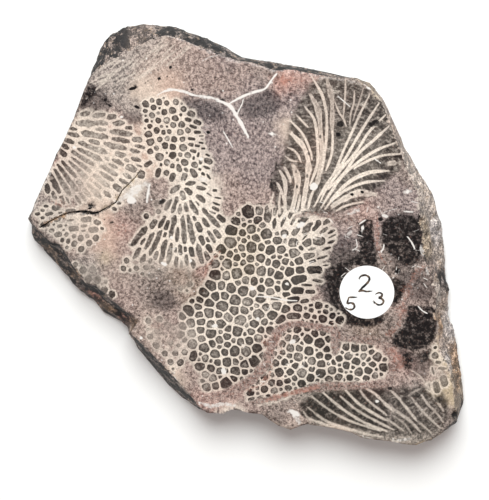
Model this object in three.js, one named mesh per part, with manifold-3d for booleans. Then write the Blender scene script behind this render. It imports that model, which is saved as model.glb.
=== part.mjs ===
// A polished slab of fossil coral limestone with a round paper collection label.
//
// The slab is one piece of stone: a flat sawn underside, a flat polished face, and a broken
// wall between them that changes its character as it goes round. All lengths are millimetres,
// +Z is up, and the origin is the middle of the footprint, on the surface the slab lies on.

import * as THREE from 'three';
import { mergeVertices } from 'three/addons/utils/BufferGeometryUtils.js';
import Module from 'manifold-3d';

const wasm = await Module();
wasm.setup();

// ---------------------------------------------------------------- driving dimensions

const THICKNESS = 12;            // sawn underside to polished face
const OUTLINE_STEP = 1.2;        // spacing of the points round the wall
const LABEL_RADIUS = 6.5;        // a standard 13 mm self-adhesive dot
const LABEL_THICKNESS = 0.15;    // paper and adhesive
const LABEL_CENTRE = [29.3, -9.6];
const CRACK_DEPTH = 0.9;         // open fracture in the polished face
const CUTTER_RISE = 0.6;         // how far a cutting tool stands above the face

// Levels of the wall, as shares of the thickness, from the polished face down.
const LEVELS = [0, 0.06, 0.15, 0.26, 0.38, 0.5, 0.62, 0.74, 0.85, 0.95, 1];

// Each kind of wall says, level by level, how much of the way from rim to foot it has gone,
// how far it bulges past that line in millimetres, and how rough its broken stone is.
const WALLS = {
  broken: {
    share: [0, 0.08, 0.2, 0.28, 0.38, 0.52, 0.72, 0.84, 0.95, 1, 1],
    bulge: [0, -0.1, -0.3, -0.3, -0.1, 0.1, 0.3, 0.2, 0.1, 0, 0],
    rough: 0.75,
  },
  ground: {
    share: [0, 0.06, 0.16, 0.28, 0.4, 0.52, 0.64, 0.76, 0.88, 0.97, 1],
    bulge: [0, 0.1, 0.2, 0.25, 0.25, 0.2, 0.1, 0.05, 0, 0, 0],
    rough: 0.12,
  },
  chipped: {
    share: [0, 0, 0.05, 0.15, 0.3, 0.5, 0.7, 0.85, 0.95, 1, 1],
    bulge: [0, -0.35, -0.7, -0.7, -0.5, -0.3, -0.1, 0, 0, 0, -0.2],
    rough: 0.5,
  },
  ledge: {
    share: [0, 0.14, 0.32, 0.4, 0.46, 0.52, 0.82, 1, 1, 1, 0.9],
    bulge: [0, 0, 0.1, -0.1, -0.4, -0.3, 0.1, 0.3, 0.2, 0, 0],
    rough: 0.55,
  },
  bevel: {
    share: [0, 0.1, 0.28, 0.36, 0.44, 0.54, 0.65, 0.76, 0.88, 0.97, 1],
    bulge: [0, 0.5, 1.1, 1.3, 1.3, 1.1, 0.9, 0.6, 0.3, 0.1, 0],
    rough: 0.35,
  },
  corner: {
    share: [0, 0.3, 0.62, 0.84, 0.97, 1, 1, 0.98, 0.97, 0.96, 0.95],
    bulge: [0, 0, 0, 0.1, 0.2, 0.2, 0.1, 0, 0, -0.1, -0.2],
    rough: 0.7,
  },
  edge: {
    share: [0, 0.1, 0.24, 0.36, 0.44, 0.54, 0.65, 0.76, 0.88, 0.97, 1],
    bulge: [0, 0.15, 0.25, 0.3, 0.25, 0.2, 0.1, 0, 0, 0, 0],
    rough: 0.3,
  },
};

// Stations round the slab, anticlockwise from its left tip: the edge of the polished face,
// the foot of the wall below it, and the kind of wall there.
const STATIONS = [
  // lower left: a rough break that slopes out, ending in a step
  { rim: [-51.9, 6.6], foot: [-54.8, 4.4], wall: 'edge' },
  { rim: [-50.4, 4.0], foot: [-53.9, 0.8], wall: 'broken' },
  { rim: [-46.9, 0.9], foot: [-51.1, -3.4], wall: 'broken' },
  { rim: [-45.0, 0.4], foot: [-49.3, -5.6], wall: 'broken' },
  { rim: [-41.7, -5.0], foot: [-46.4, -9.3], wall: 'broken' },
  { rim: [-38.7, -9.1], foot: [-43.2, -12.6], wall: 'broken' },
  { rim: [-36.3, -9.8], foot: [-40.9, -14.9], wall: 'broken' },
  { rim: [-33.1, -12.4], foot: [-38.2, -17.2], wall: 'broken' },
  { rim: [-29.2, -15.9], foot: [-33.6, -20.7], wall: 'broken' },
  { rim: [-26.0, -18.4], foot: [-30.2, -22.9], wall: 'broken' },
  // second lower left side: straight, ground to a slope
  { rim: [-27.9, -21.5], foot: [-30.0, -25.0], wall: 'ground' },
  { rim: [-23.6, -25.5], foot: [-28.1, -28.8], wall: 'ground' },
  { rim: [-16.3, -33.3], foot: [-20.7, -37.8], wall: 'ground' },
  { rim: [-13.6, -36.4], foot: [-17.0, -41.4], wall: 'ground' },
  { rim: [-10.9, -40.0], foot: [-13.0, -43.7], wall: 'ground' },
  // bottom: scalloped chips over an undercut wall
  { rim: [-9.0, -41.2], foot: [-9.6, -43.6], wall: 'chipped' },
  { rim: [-5.2, -41.3], foot: [-5.4, -43.3], wall: 'chipped' },
  { rim: [-3.2, -40.1], foot: [-3.3, -42.7], wall: 'chipped' },
  { rim: [1.4, -40.8], foot: [1.3, -43.2], wall: 'chipped' },
  { rim: [4.3, -41.1], foot: [4.0, -43.7], wall: 'chipped' },
  { rim: [8.4, -43.8], foot: [8.2, -45.2], wall: 'chipped' },
  { rim: [11.3, -44.7], foot: [11.3, -46.0], wall: 'chipped' },
  { rim: [15.5, -43.1], foot: [15.5, -45.7], wall: 'chipped' },
  { rim: [21.2, -43.9], foot: [21.0, -46.0], wall: 'chipped' },
  { rim: [26.2, -44.9], foot: [26.0, -46.9], wall: 'chipped' },
  { rim: [28.6, -46.1], foot: [28.6, -47.5], wall: 'chipped' },
  { rim: [38.6, -47.3], foot: [38.6, -48.6], wall: 'chipped' },
  { rim: [41.8, -47.5], foot: [42.0, -48.8], wall: 'chipped' },
  { rim: [45.1, -46.0], foot: [45.9, -47.4], wall: 'edge' },
  { rim: [48.0, -43.7], foot: [49.2, -45.2], wall: 'edge' },
  // right: a blunt corner, then a wall that steps out in a ledge
  { rim: [50.6, -41.2], foot: [52.2, -43.6], wall: 'edge' },
  { rim: [51.0, -38.4], foot: [53.1, -40.4], wall: 'edge' },
  { rim: [50.1, -32.1], foot: [52.4, -34.4], wall: 'ledge' },
  { rim: [48.9, -29.3], foot: [51.7, -31.0], wall: 'ledge' },
  { rim: [48.5, -26.0], foot: [51.1, -27.4], wall: 'ledge' },
  { rim: [46.6, -23.9], foot: [50.5, -24.2], wall: 'ledge' },
  { rim: [46.8, -17.4], foot: [49.3, -18.6], wall: 'ledge' },
  { rim: [45.5, -14.8], foot: [48.5, -15.4], wall: 'ledge' },
  { rim: [45.8, -10.2], foot: [48.1, -10.8], wall: 'ledge' },
  { rim: [44.7, -5.4], foot: [47.8, -6.4], wall: 'ledge' },
  { rim: [42.7, -1.4], foot: [47.2, -2.0], wall: 'ledge' },
  { rim: [42.1, 4.3], foot: [46.4, 3.6], wall: 'ledge' },
  { rim: [41.4, 9.6], foot: [45.2, 8.4], wall: 'ledge' },
  { rim: [40.8, 14.8], foot: [43.3, 13.7], wall: 'ledge' },
  { rim: [39.1, 18.2], foot: [40.9, 17.6], wall: 'ledge' },
  { rim: [36.6, 24.1], foot: [37.3, 23.5], wall: 'edge' },
  { rim: [33.9, 31.2], foot: [34.2, 30.6], wall: 'edge' },
  // top: a short dark bevel leaning out of the face
  { rim: [32.0, 36.2], foot: [31.9, 35.4], wall: 'edge' },
  { rim: [28.8, 39.6], foot: [28.7, 38.8], wall: 'edge' },
  { rim: [26.1, 40.9], foot: [25.6, 39.8], wall: 'edge' },
  { rim: [17.0, 42.2], foot: [16.6, 41.6], wall: 'edge' },
  { rim: [11.6, 43.3], foot: [11.4, 42.6], wall: 'edge' },
  { rim: [7.0, 43.0], foot: [6.8, 42.6], wall: 'bevel' },
  { rim: [1.9, 44.7], foot: [1.8, 44.0], wall: 'edge' },
  { rim: [-1.5, 45.2], foot: [-1.8, 44.6], wall: 'edge' },
  { rim: [-5.3, 46.1], foot: [-5.6, 46.6], wall: 'bevel' },
  { rim: [-9.0, 47.6], foot: [-9.3, 48.2], wall: 'bevel' },
  { rim: [-15.2, 50.2], foot: [-15.3, 50.0], wall: 'bevel' },
  // top left: the corner the polish never reached
  { rim: [-18.2, 50.9], foot: [-18.9, 51.3], wall: 'bevel' },
  { rim: [-22.1, 49.8], foot: [-22.4, 52.3], wall: 'corner' },
  { rim: [-25.2, 48.1], foot: [-26.0, 52.0], wall: 'corner' },
  { rim: [-27.9, 46.4], foot: [-29.2, 51.4], wall: 'corner' },
  { rim: [-31.2, 45.2], foot: [-32.2, 49.9], wall: 'corner' },
  { rim: [-33.6, 43.8], foot: [-34.8, 46.4], wall: 'corner' },
  { rim: [-36.1, 41.9], foot: [-36.7, 42.6], wall: 'corner' },
  // left side: nearly upright
  { rim: [-38.0, 38.0], foot: [-38.0, 37.6], wall: 'edge' },
  { rim: [-40.8, 30.6], foot: [-40.6, 30.4], wall: 'edge' },
  { rim: [-45.7, 20.7], foot: [-45.4, 20.4], wall: 'edge' },
  { rim: [-50.7, 10.4], foot: [-51.0, 9.6], wall: 'edge' },
];

// The open crack, from the left rim into the face, with its width at each turn.
const CRACK = [
  { at: [-49.6, 4.3], width: 0.2 },
  { at: [-48.4, 4.9], width: 0.8 },
  { at: [-47.4, 5.8], width: 0.3 },
  { at: [-43.1, 7.9], width: 0.3 },
  { at: [-40.6, 8.4], width: 0.5 },
  { at: [-38.3, 8.4], width: 0.9 },
  { at: [-36.7, 8.1], width: 0.6 },
  { at: [-35.0, 8.5], width: 0.35 },
  { at: [-30.9, 10.9], width: 0.25 },
  { at: [-29.4, 13.8], width: 0.25 },
  { at: [-26.1, 17.1], width: 0.2 },
  { at: [-24.7, 19.1], width: 0.1 },
];

// Pits and lost chips: the middle and half-lengths of the stone that came away.
const CHIPS = [
  { at: [51.6, -39.6, 12.2], size: [1.7, 1.3, 1.9] },
  { at: [41.9, 7.6, 12.0], size: [0.7, 1.2, 1.3] },
  { at: [43.4, 4.4, 11.4], size: [0.9, 1.3, 1.1] },
  { at: [45.6, 1.4, 10.2], size: [1.3, 1.9, 1.2] },
  { at: [-37.0, 10.0, 12.2], size: [0.6, 0.35, 0.8] },
  { at: [-8.9, -41.8, 11.9], size: [1.1, 0.7, 1.0] },
  { at: [-28.6, 50.4, 11.4], size: [2.4, 1.5, 1.5] },
  { at: [-33.6, 47.4, 11.4], size: [1.4, 1.9, 1.4] },
  { at: [-23.6, 51.4, 11.3], size: [1.9, 1.2, 1.2] },
  { at: [50.6, -20.8, 8.6], size: [1.4, 2.4, 1.7] },
  { at: [-50.4, -1.7, 10.0], size: [1.6, 2.1, 1.4] },
  { at: [-44.4, -9.2, 9.4], size: [2.2, 1.5, 1.4] },
  { at: [-35.4, -17.4, 9.0], size: [2.6, 1.5, 1.3] },
];

// ---------------------------------------------------------------- rough stone

// A repeatable number from 0 to 1 for a point of a whole-number grid.
function gridValue(i, j, k) {
  const wave = Math.sin(i * 127.1 + j * 311.7 + k * 74.7) * 43758.5453;
  return wave - Math.floor(wave);
}

// Smooth value noise from -1 to 1 over space, with lumps about `size` millimetres across.
function lumps(x, y, z, size) {
  const cell = [x / size, y / size, z / size];
  const low = cell.map(Math.floor);
  const fade = cell.map((value, axis) => {
    const part = value - low[axis];
    return part * part * (3 - 2 * part);
  });
  let total = 0;
  for (const i of [0, 1]) {
    for (const j of [0, 1]) {
      for (const k of [0, 1]) {
        const weight = (i ? fade[0] : 1 - fade[0]) * (j ? fade[1] : 1 - fade[1])
          * (k ? fade[2] : 1 - fade[2]);
        total += weight * gridValue(low[0] + i, low[1] + j, low[2] + k);
      }
    }
  }
  return 2 * total - 1;
}

// Broken stone: big lumps with smaller ones on them.
function breakage(x, y, z) {
  return lumps(x, y, z, 3.6) + 0.6 * lumps(x + 50, y, z, 1.7);
}

// ---------------------------------------------------------------- helpers

const mix = (a, b, share) => a + (b - a) * share;
const mixPoint = (a, b, share) => [mix(a[0], b[0], share), mix(a[1], b[1], share)];

// Points between the stations about OUTLINE_STEP apart, each with its rim, foot and wall.
function walkOutline() {
  const walk = [];
  STATIONS.forEach((here, index) => {
    const next = STATIONS[(index + 1) % STATIONS.length];
    const gap = Math.hypot(next.rim[0] - here.rim[0], next.rim[1] - here.rim[1]);
    const steps = Math.max(1, Math.round(gap / OUTLINE_STEP));
    const [a, b] = [WALLS[here.wall], WALLS[next.wall]];
    for (let step = 0; step < steps; step += 1) {
      const share = step / steps;
      walk.push({
        rim: mixPoint(here.rim, next.rim, share),
        foot: mixPoint(here.foot, next.foot, share),
        share: a.share.map((value, level) => mix(value, b.share[level], share)),
        bulge: a.bulge.map((value, level) => mix(value, b.bulge[level], share)),
        rough: mix(a.rough, b.rough, share),
      });
    }
  });
  return walk;
}

// The outward direction of a closed outline at one of its points, smoothed over its neighbours.
function outwardAt(walk, index) {
  const reach = 2;
  const count = walk.length;
  const before = walk[(index - reach + count) % count].rim;
  const after = walk[(index + reach) % count].rim;
  const along = [after[0] - before[0], after[1] - before[1]];
  const length = Math.hypot(along[0], along[1]);
  return [along[1] / length, -along[0] / length];
}

function solidFrom(geometry) {
  const bare = geometry.clone();
  bare.deleteAttribute('normal');
  bare.deleteAttribute('uv');
  const merged = mergeVertices(bare);
  const mesh = new wasm.Mesh({
    numProp: 3,
    vertProperties: new Float32Array(merged.attributes.position.array),
    triVerts: new Uint32Array(merged.index.array),
  });
  return new wasm.Manifold(mesh);
}

function geometryFrom(solid) {
  const mesh = solid.getMesh();
  const geometry = new THREE.BufferGeometry();
  geometry.setAttribute('position', new THREE.BufferAttribute(new Float32Array(mesh.vertProperties), 3));
  geometry.setIndex(new THREE.BufferAttribute(new Uint32Array(mesh.triVerts), 1));
  geometry.computeVertexNormals();
  return geometry;
}

function closedGeometry(points, triangles) {
  const geometry = new THREE.BufferGeometry();
  geometry.setAttribute('position', new THREE.Float32BufferAttribute(points.flat(), 3));
  geometry.setIndex(triangles.flat());
  return geometry;
}

// ---------------------------------------------------------------- the stone

// One ring of points round the wall for each level, joined by bands and closed by two flat faces.
function blankSlab() {
  const walk = walkOutline();
  const count = walk.length;
  const points = [];
  LEVELS.forEach((level, ring) => {
    const flat = ring === 0 || ring === LEVELS.length - 1;
    walk.forEach((spot, index) => {
      const outward = outwardAt(walk, index);
      const [x, y] = mixPoint(spot.rim, spot.foot, spot.share[ring]);
      const z = THICKNESS * (1 - level);
      const rough = flat ? 0.3 * spot.rough : spot.rough;
      const push = spot.bulge[ring] + rough * breakage(x, y, z);
      const lift = flat ? 0 : 0.4 * spot.rough * lumps(x, y + 90, z, 2.3);
      points.push([x + outward[0] * push, y + outward[1] * push, z + lift]);
    });
  });

  const triangles = [];
  for (let ring = 0; ring < LEVELS.length - 1; ring += 1) {
    for (let index = 0; index < count; index += 1) {
      const next = (index + 1) % count;
      const upper = ring * count;
      const lower = upper + count;
      triangles.push([lower + index, lower + next, upper + next]);
      triangles.push([lower + index, upper + next, upper + index]);
    }
  }
  const ringOutline = (ring) => points.slice(ring * count, (ring + 1) * count)
    .map(([x, y]) => new THREE.Vector2(x, y));
  const last = LEVELS.length - 1;
  for (const face of THREE.ShapeUtils.triangulateShape(ringOutline(0), [])) {
    triangles.push(face);
  }
  for (const [a, b, c] of THREE.ShapeUtils.triangulateShape(ringOutline(last), [])) {
    triangles.push([c, b, a].map((corner) => corner + last * count));
  }
  return closedGeometry(points, triangles);
}

// A wedge that follows the crack, widest at the face and sharp at its bottom.
function crackCutter() {
  const sides = 3;
  const points = [];
  CRACK.forEach((spot, index) => {
    const before = CRACK[Math.max(0, index - 1)].at;
    const after = CRACK[Math.min(CRACK.length - 1, index + 1)].at;
    const along = [after[0] - before[0], after[1] - before[1]];
    const length = Math.hypot(along[0], along[1]);
    const left = [-along[1] / length, along[0] / length];
    const flare = 1 + CUTTER_RISE / CRACK_DEPTH;
    const half = 0.5 * spot.width * flare;
    const [x, y] = spot.at;
    points.push([x + left[0] * half, y + left[1] * half, THICKNESS + CUTTER_RISE]);
    points.push([x - left[0] * half, y - left[1] * half, THICKNESS + CUTTER_RISE]);
    points.push([x, y, THICKNESS - CRACK_DEPTH]);
  });
  const triangles = [];
  for (let index = 0; index < CRACK.length - 1; index += 1) {
    for (let side = 0; side < sides; side += 1) {
      const here = index * sides + side;
      const beside = index * sides + ((side + 1) % sides);
      triangles.push([here, beside, beside + sides]);
      triangles.push([here, beside + sides, here + sides]);
    }
  }
  const end = (CRACK.length - 1) * sides;
  triangles.push([0, 2, 1]);
  triangles.push([end, end + 1, end + 2]);
  return closedGeometry(points, triangles);
}

// A small uneven stone, the shape of a lost chip.
function chipCutter({ at, size }) {
  const stone = new THREE.IcosahedronGeometry(1, 1);
  stone.deleteAttribute('normal');
  stone.deleteAttribute('uv');
  const merged = mergeVertices(stone);
  const position = merged.attributes.position;
  for (let index = 0; index < position.count; index += 1) {
    const [x, y, z] = [position.getX(index), position.getY(index), position.getZ(index)];
    const swell = 1 + 0.4 * lumps(x + at[0], y + at[1], z + at[2], 0.7);
    position.setXYZ(
      index,
      at[0] + x * size[0] * swell,
      at[1] + y * size[1] * swell,
      at[2] + z * size[2] * swell,
    );
  }
  return merged;
}

function slabGeometry() {
  let stone = solidFrom(blankSlab());
  stone = stone.subtract(solidFrom(crackCutter()));
  for (const chip of CHIPS) {
    stone = stone.subtract(solidFrom(chipCutter(chip)));
  }
  return geometryFrom(stone);
}

// ---------------------------------------------------------------- the paper label

function labelGeometry() {
  const dot = new THREE.Shape();
  dot.absarc(0, 0, LABEL_RADIUS, 0, 2 * Math.PI);
  return new THREE.ExtrudeGeometry(dot, {
    depth: LABEL_THICKNESS,
    bevelEnabled: false,
    curveSegments: 36,
  });
}

// ---------------------------------------------------------------- the part

const slab = new THREE.Mesh(
  slabGeometry(),
  new THREE.MeshStandardMaterial({ color: 0x8d7f79, roughness: 0.35, metalness: 0 }),
);
slab.name = 'slab';

const label = new THREE.Mesh(
  labelGeometry(),
  new THREE.MeshStandardMaterial({ color: 0xf4f0ec, roughness: 0.75, metalness: 0 }),
);
label.name = 'label';

// The middle of the footprint goes to the origin.
slab.geometry.computeBoundingBox();
const middle = slab.geometry.boundingBox.getCenter(new THREE.Vector3());
slab.geometry.translate(-middle.x, -middle.y, 0);
label.position.set(LABEL_CENTRE[0] - middle.x, LABEL_CENTRE[1] - middle.y, THICKNESS);

const part = new THREE.Group();
part.add(slab);
part.add(label);

export default part;
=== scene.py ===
# %% [markdown]
# # A polished slab of fossil coral
# The object is a flat piece of grey and pink limestone, about 108 by 102 mm and
# 12 mm thick, sawn out of a bigger block. One face was ground and polished, so it
# shows the branches of an ancient coral cut straight across and cut lengthwise.
# A round white paper dot with numbers in ink is stuck on it.
# The measured part is loaded first. It is the fixed frame that every visible piece
# is built around.

# %% Load the frame
import math

import bpy
import numpy as np
from mathutils import Matrix, Vector
from mathutils.geometry import delaunay_2d_cdt
from mathutils.kdtree import KDTree


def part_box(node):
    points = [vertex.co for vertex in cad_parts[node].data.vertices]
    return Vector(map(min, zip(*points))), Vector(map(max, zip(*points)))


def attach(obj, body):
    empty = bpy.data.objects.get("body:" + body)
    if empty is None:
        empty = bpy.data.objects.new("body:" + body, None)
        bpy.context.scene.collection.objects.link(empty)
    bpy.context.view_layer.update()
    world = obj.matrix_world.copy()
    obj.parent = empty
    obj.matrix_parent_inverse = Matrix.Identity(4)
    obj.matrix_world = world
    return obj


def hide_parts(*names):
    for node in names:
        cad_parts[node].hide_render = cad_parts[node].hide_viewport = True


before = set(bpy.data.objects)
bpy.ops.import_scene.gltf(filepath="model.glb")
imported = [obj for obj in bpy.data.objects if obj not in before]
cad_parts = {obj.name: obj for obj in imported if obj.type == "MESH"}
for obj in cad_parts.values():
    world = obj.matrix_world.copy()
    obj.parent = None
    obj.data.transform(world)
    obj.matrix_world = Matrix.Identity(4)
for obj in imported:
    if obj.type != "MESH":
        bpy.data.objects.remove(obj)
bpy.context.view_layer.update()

MM = 0.001                              # one millimetre, in Blender's metres
FACE_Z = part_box("slab")[1].z / MM       # height of the polished face
rng = np.random.default_rng(11)         # every random choice is drawn from here


def new_object(name, data):
    """A new object of the scene."""
    made = bpy.data.objects.new(name, data)
    bpy.context.scene.collection.objects.link(made)
    return made


def edge_uses(part):
    """How many faces meet at each edge of a part."""
    uses = {}
    for face in part.data.polygons:
        for key in face.edge_keys:
            uses[key] = uses.get(key, 0) + 1
    return uses


def pick(*parts):
    """Selects these parts and nothing else; the last one is the active one."""
    bpy.ops.object.select_all(action="DESELECT")
    for part in parts:
        part.select_set(True)
    bpy.context.view_layer.objects.active = parts[-1]


print("polished face at z =", round(FACE_Z, 2), "mm")

# %% [markdown]
# ## The colours of the stone
# A stone painter works from a small tray of mixed colours. The tray below has the
# colours as the eye sees them, from 0 to 255. The eye's scale isn't the scale of
# light, so they are turned into the share of light that the surface gives back, and
# divided by how much light falls on the slab.

# %% Palette
LIGHT_ON_FACE = 1.33
TRAY = {
    "bone": (240, 227, 212), "cream": (228, 207, 189), "peach": (216, 184, 165),
    "straw": (208, 188, 156), "fawn": (174, 153, 140), "clay": (156, 132, 122),
    "rose": (182, 144, 132), "coral": (202, 140, 122), "mauve": (134, 118, 117),
    "ash": (148, 139, 131), "sage": (132, 127, 114), "slate": (98, 93, 96),
    "umber": (112, 97, 88), "brown": (128, 104, 84), "ochre": (196, 150, 96),
    "rust": (186, 104, 72), "soot": (56, 49, 49), "pitch": (22, 19, 20),
    "chalk": (250, 244, 238), "brick": (156, 114, 100),
    "smoke": (84, 76, 71),
}


def seen(name, gain=1.0):
    """A tray colour as linear light, with alpha."""
    eye = np.array(TRAY[name]) / 255.0
    light = np.where(eye <= 0.04045, eye / 12.92, ((eye + 0.055) / 1.055) ** 2.4)
    return tuple(float(c) * gain / LIGHT_ON_FACE for c in light) + (1.0,)


print(len(TRAY), "colours in the tray")

# %% [markdown]
# ## The block: sawn and broken sides
# The sides of the real slab are partly sawn, partly ground and partly broken. The
# part already has their big forms. A copy of it is merged into one skin, its sides
# are cut finer, and a displace modifier with a cloudy texture roughens them. The
# two rims are left out of that, so that the flat faces stay flat and the outline
# stays true.

# %% Copy the measured slab and cut its sides finer
SIDE_CUTS = 2
for item in list(bpy.context.selected_objects):
    item.select_set(False)
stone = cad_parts["slab"].copy()
stone.data = stone.data.copy()
stone.name = "slab_stone"
stone.data.name = "slab_stone"
stone.parent = None
for key in list(stone.keys()):
    del stone[key]
bpy.context.scene.collection.objects.link(stone)
bpy.context.view_layer.objects.active = stone
stone.select_set(True)
bpy.ops.object.mode_set(mode="EDIT")
bpy.ops.mesh.select_all(action="SELECT")
bpy.ops.mesh.remove_doubles(threshold=1e-6)
bpy.ops.mesh.select_all(action="DESELECT")
bpy.ops.object.mode_set(mode="OBJECT")
top = FACE_Z * MM
for face in stone.data.polygons:
    face.select = min(stone.data.vertices[i].co.z for i in face.vertices) < top - 1e-6
bpy.ops.object.mode_set(mode="EDIT")
bpy.ops.mesh.select_mode(type="FACE")
bpy.ops.mesh.subdivide(number_cuts=SIDE_CUTS)
bpy.ops.object.mode_set(mode="OBJECT")
print("slab skin:", len(stone.data.vertices), "points,", len(stone.data.polygons), "faces")

# %% Roughen the sides
ROUGHNESS_OF_BREAK = {"lumps": (0.0032, 0.00075), "grains": (0.0009, 0.00042)}
rims = stone.vertex_groups.new(name="sides")
for vertex in stone.data.vertices:
    z = vertex.co.z
    if 1e-6 < z < top - 1e-6:
        ease = min(z, top - z) / 0.0018
        rims.add([vertex.index], min(1.0, ease), "REPLACE")
for label, (size, strength) in ROUGHNESS_OF_BREAK.items():
    texture = bpy.data.textures.new("break_" + label, "CLOUDS")
    texture.noise_scale = size
    texture.noise_depth = 3
    roughen = stone.modifiers.new("break_" + label, "DISPLACE")
    roughen.texture = texture
    roughen.texture_coords = "LOCAL"
    roughen.strength = strength
    roughen.mid_level = 0.5
    roughen.vertex_group = "sides"
    bpy.ops.object.modifier_apply(modifier=roughen.name)
stone.vertex_groups.clear()
print("sides roughened with", len(ROUGHNESS_OF_BREAK), "cloud textures")

# %% Take off the plain top face
for face in stone.data.polygons:
    heights = [stone.data.vertices[i].co.z for i in face.vertices]
    face.select = min(heights) > top - 1e-6
bpy.ops.object.mode_set(mode="EDIT")
bpy.ops.mesh.select_mode(type="FACE")
bpy.ops.mesh.delete(type="ONLY_FACE")
bpy.ops.mesh.select_mode(type="VERT")
bpy.ops.object.mode_set(mode="OBJECT")
open_edges = [key for key, count in edge_uses(stone).items() if count == 1]
rim_ids = sorted({i for key in open_edges for i in key})
place_of = {i: n for n, i in enumerate(rim_ids)}
rim = np.array([stone.data.vertices[i].co[:2] for i in rim_ids], float) / MM
rim_edges = np.array([[place_of[a], place_of[b]] for a, b in open_edges])
bpy.ops.object.mode_set(mode="EDIT")
bpy.ops.mesh.select_all(action="SELECT")
bpy.ops.mesh.delete_loose(use_verts=True, use_edges=True, use_faces=False)
bpy.ops.object.mode_set(mode="OBJECT")
print("open rim:", len(rim), "points,", len(rim_edges), "edges")

# %% [markdown]
# ## Distances on the face
# Everything on the polished face is drawn by distance: how far a point is from an
# outline, from a line, or from the axis of a tube. These helpers measure that for
# many points at once, and the last one turns a distance into a soft step. Lengths on
# the face are in millimetres from here on.

# %% Distance helpers
CHUNK = 4000                            # points measured at once, to save memory


def segment_distance(points, starts, ends):
    """Distances (points by segments) to straight segments."""
    along = ends - starts
    size = np.maximum((along ** 2).sum(-1), 1e-12)
    offset = points[:, None, :] - starts[None]
    share = np.clip((offset * along[None]).sum(-1) / size, 0.0, 1.0)
    return np.sqrt(((offset - share[..., None] * along[None]) ** 2).sum(-1))


def nearest_segment(points, starts, ends, chunk=CHUNK):
    """The least distance from each point to any of the segments."""
    return np.concatenate([segment_distance(points[i:i + chunk], starts, ends).min(1)
                           for i in range(0, len(points), chunk)])


def is_inside(points, starts, ends, chunk=CHUNK):
    """Even-odd test of each point against closed loops of segments."""
    answer = []
    for i in range(0, len(points), chunk):
        x, y = points[i:i + chunk, 0, None], points[i:i + chunk, 1, None]
        spans = (starts[:, 1] > y) != (ends[:, 1] > y)
        rise = np.where(ends[:, 1] == starts[:, 1], 1.0, ends[:, 1] - starts[:, 1])
        crossing = starts[:, 0] + (y - starts[:, 1]) * (ends[:, 0] - starts[:, 0]) / rise
        answer.append((spans & (x < crossing)).sum(1) % 2 == 1)
    return np.concatenate(answer)


def depth_inside(points, outline):
    """Signed distance to a closed outline: positive inside it."""
    outline = np.array(outline, float)
    following = np.roll(outline, -1, axis=0)
    distance = nearest_segment(points, outline, following)
    return np.where(is_inside(points, outline, following), distance, -distance)


def smooth(low, high, value):
    """A soft step from 0 at low to 1 at high."""
    share = np.clip((value - low) / (high - low), 0.0, 1.0)
    return share * share * (3.0 - 2.0 * share)


RIM_STARTS, RIM_ENDS = rim[rim_edges[:, 0]], rim[rim_edges[:, 1]]
print("rim length, mm:", round(float(np.linalg.norm(RIM_ENDS - RIM_STARTS, axis=1).sum()), 1))
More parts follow.
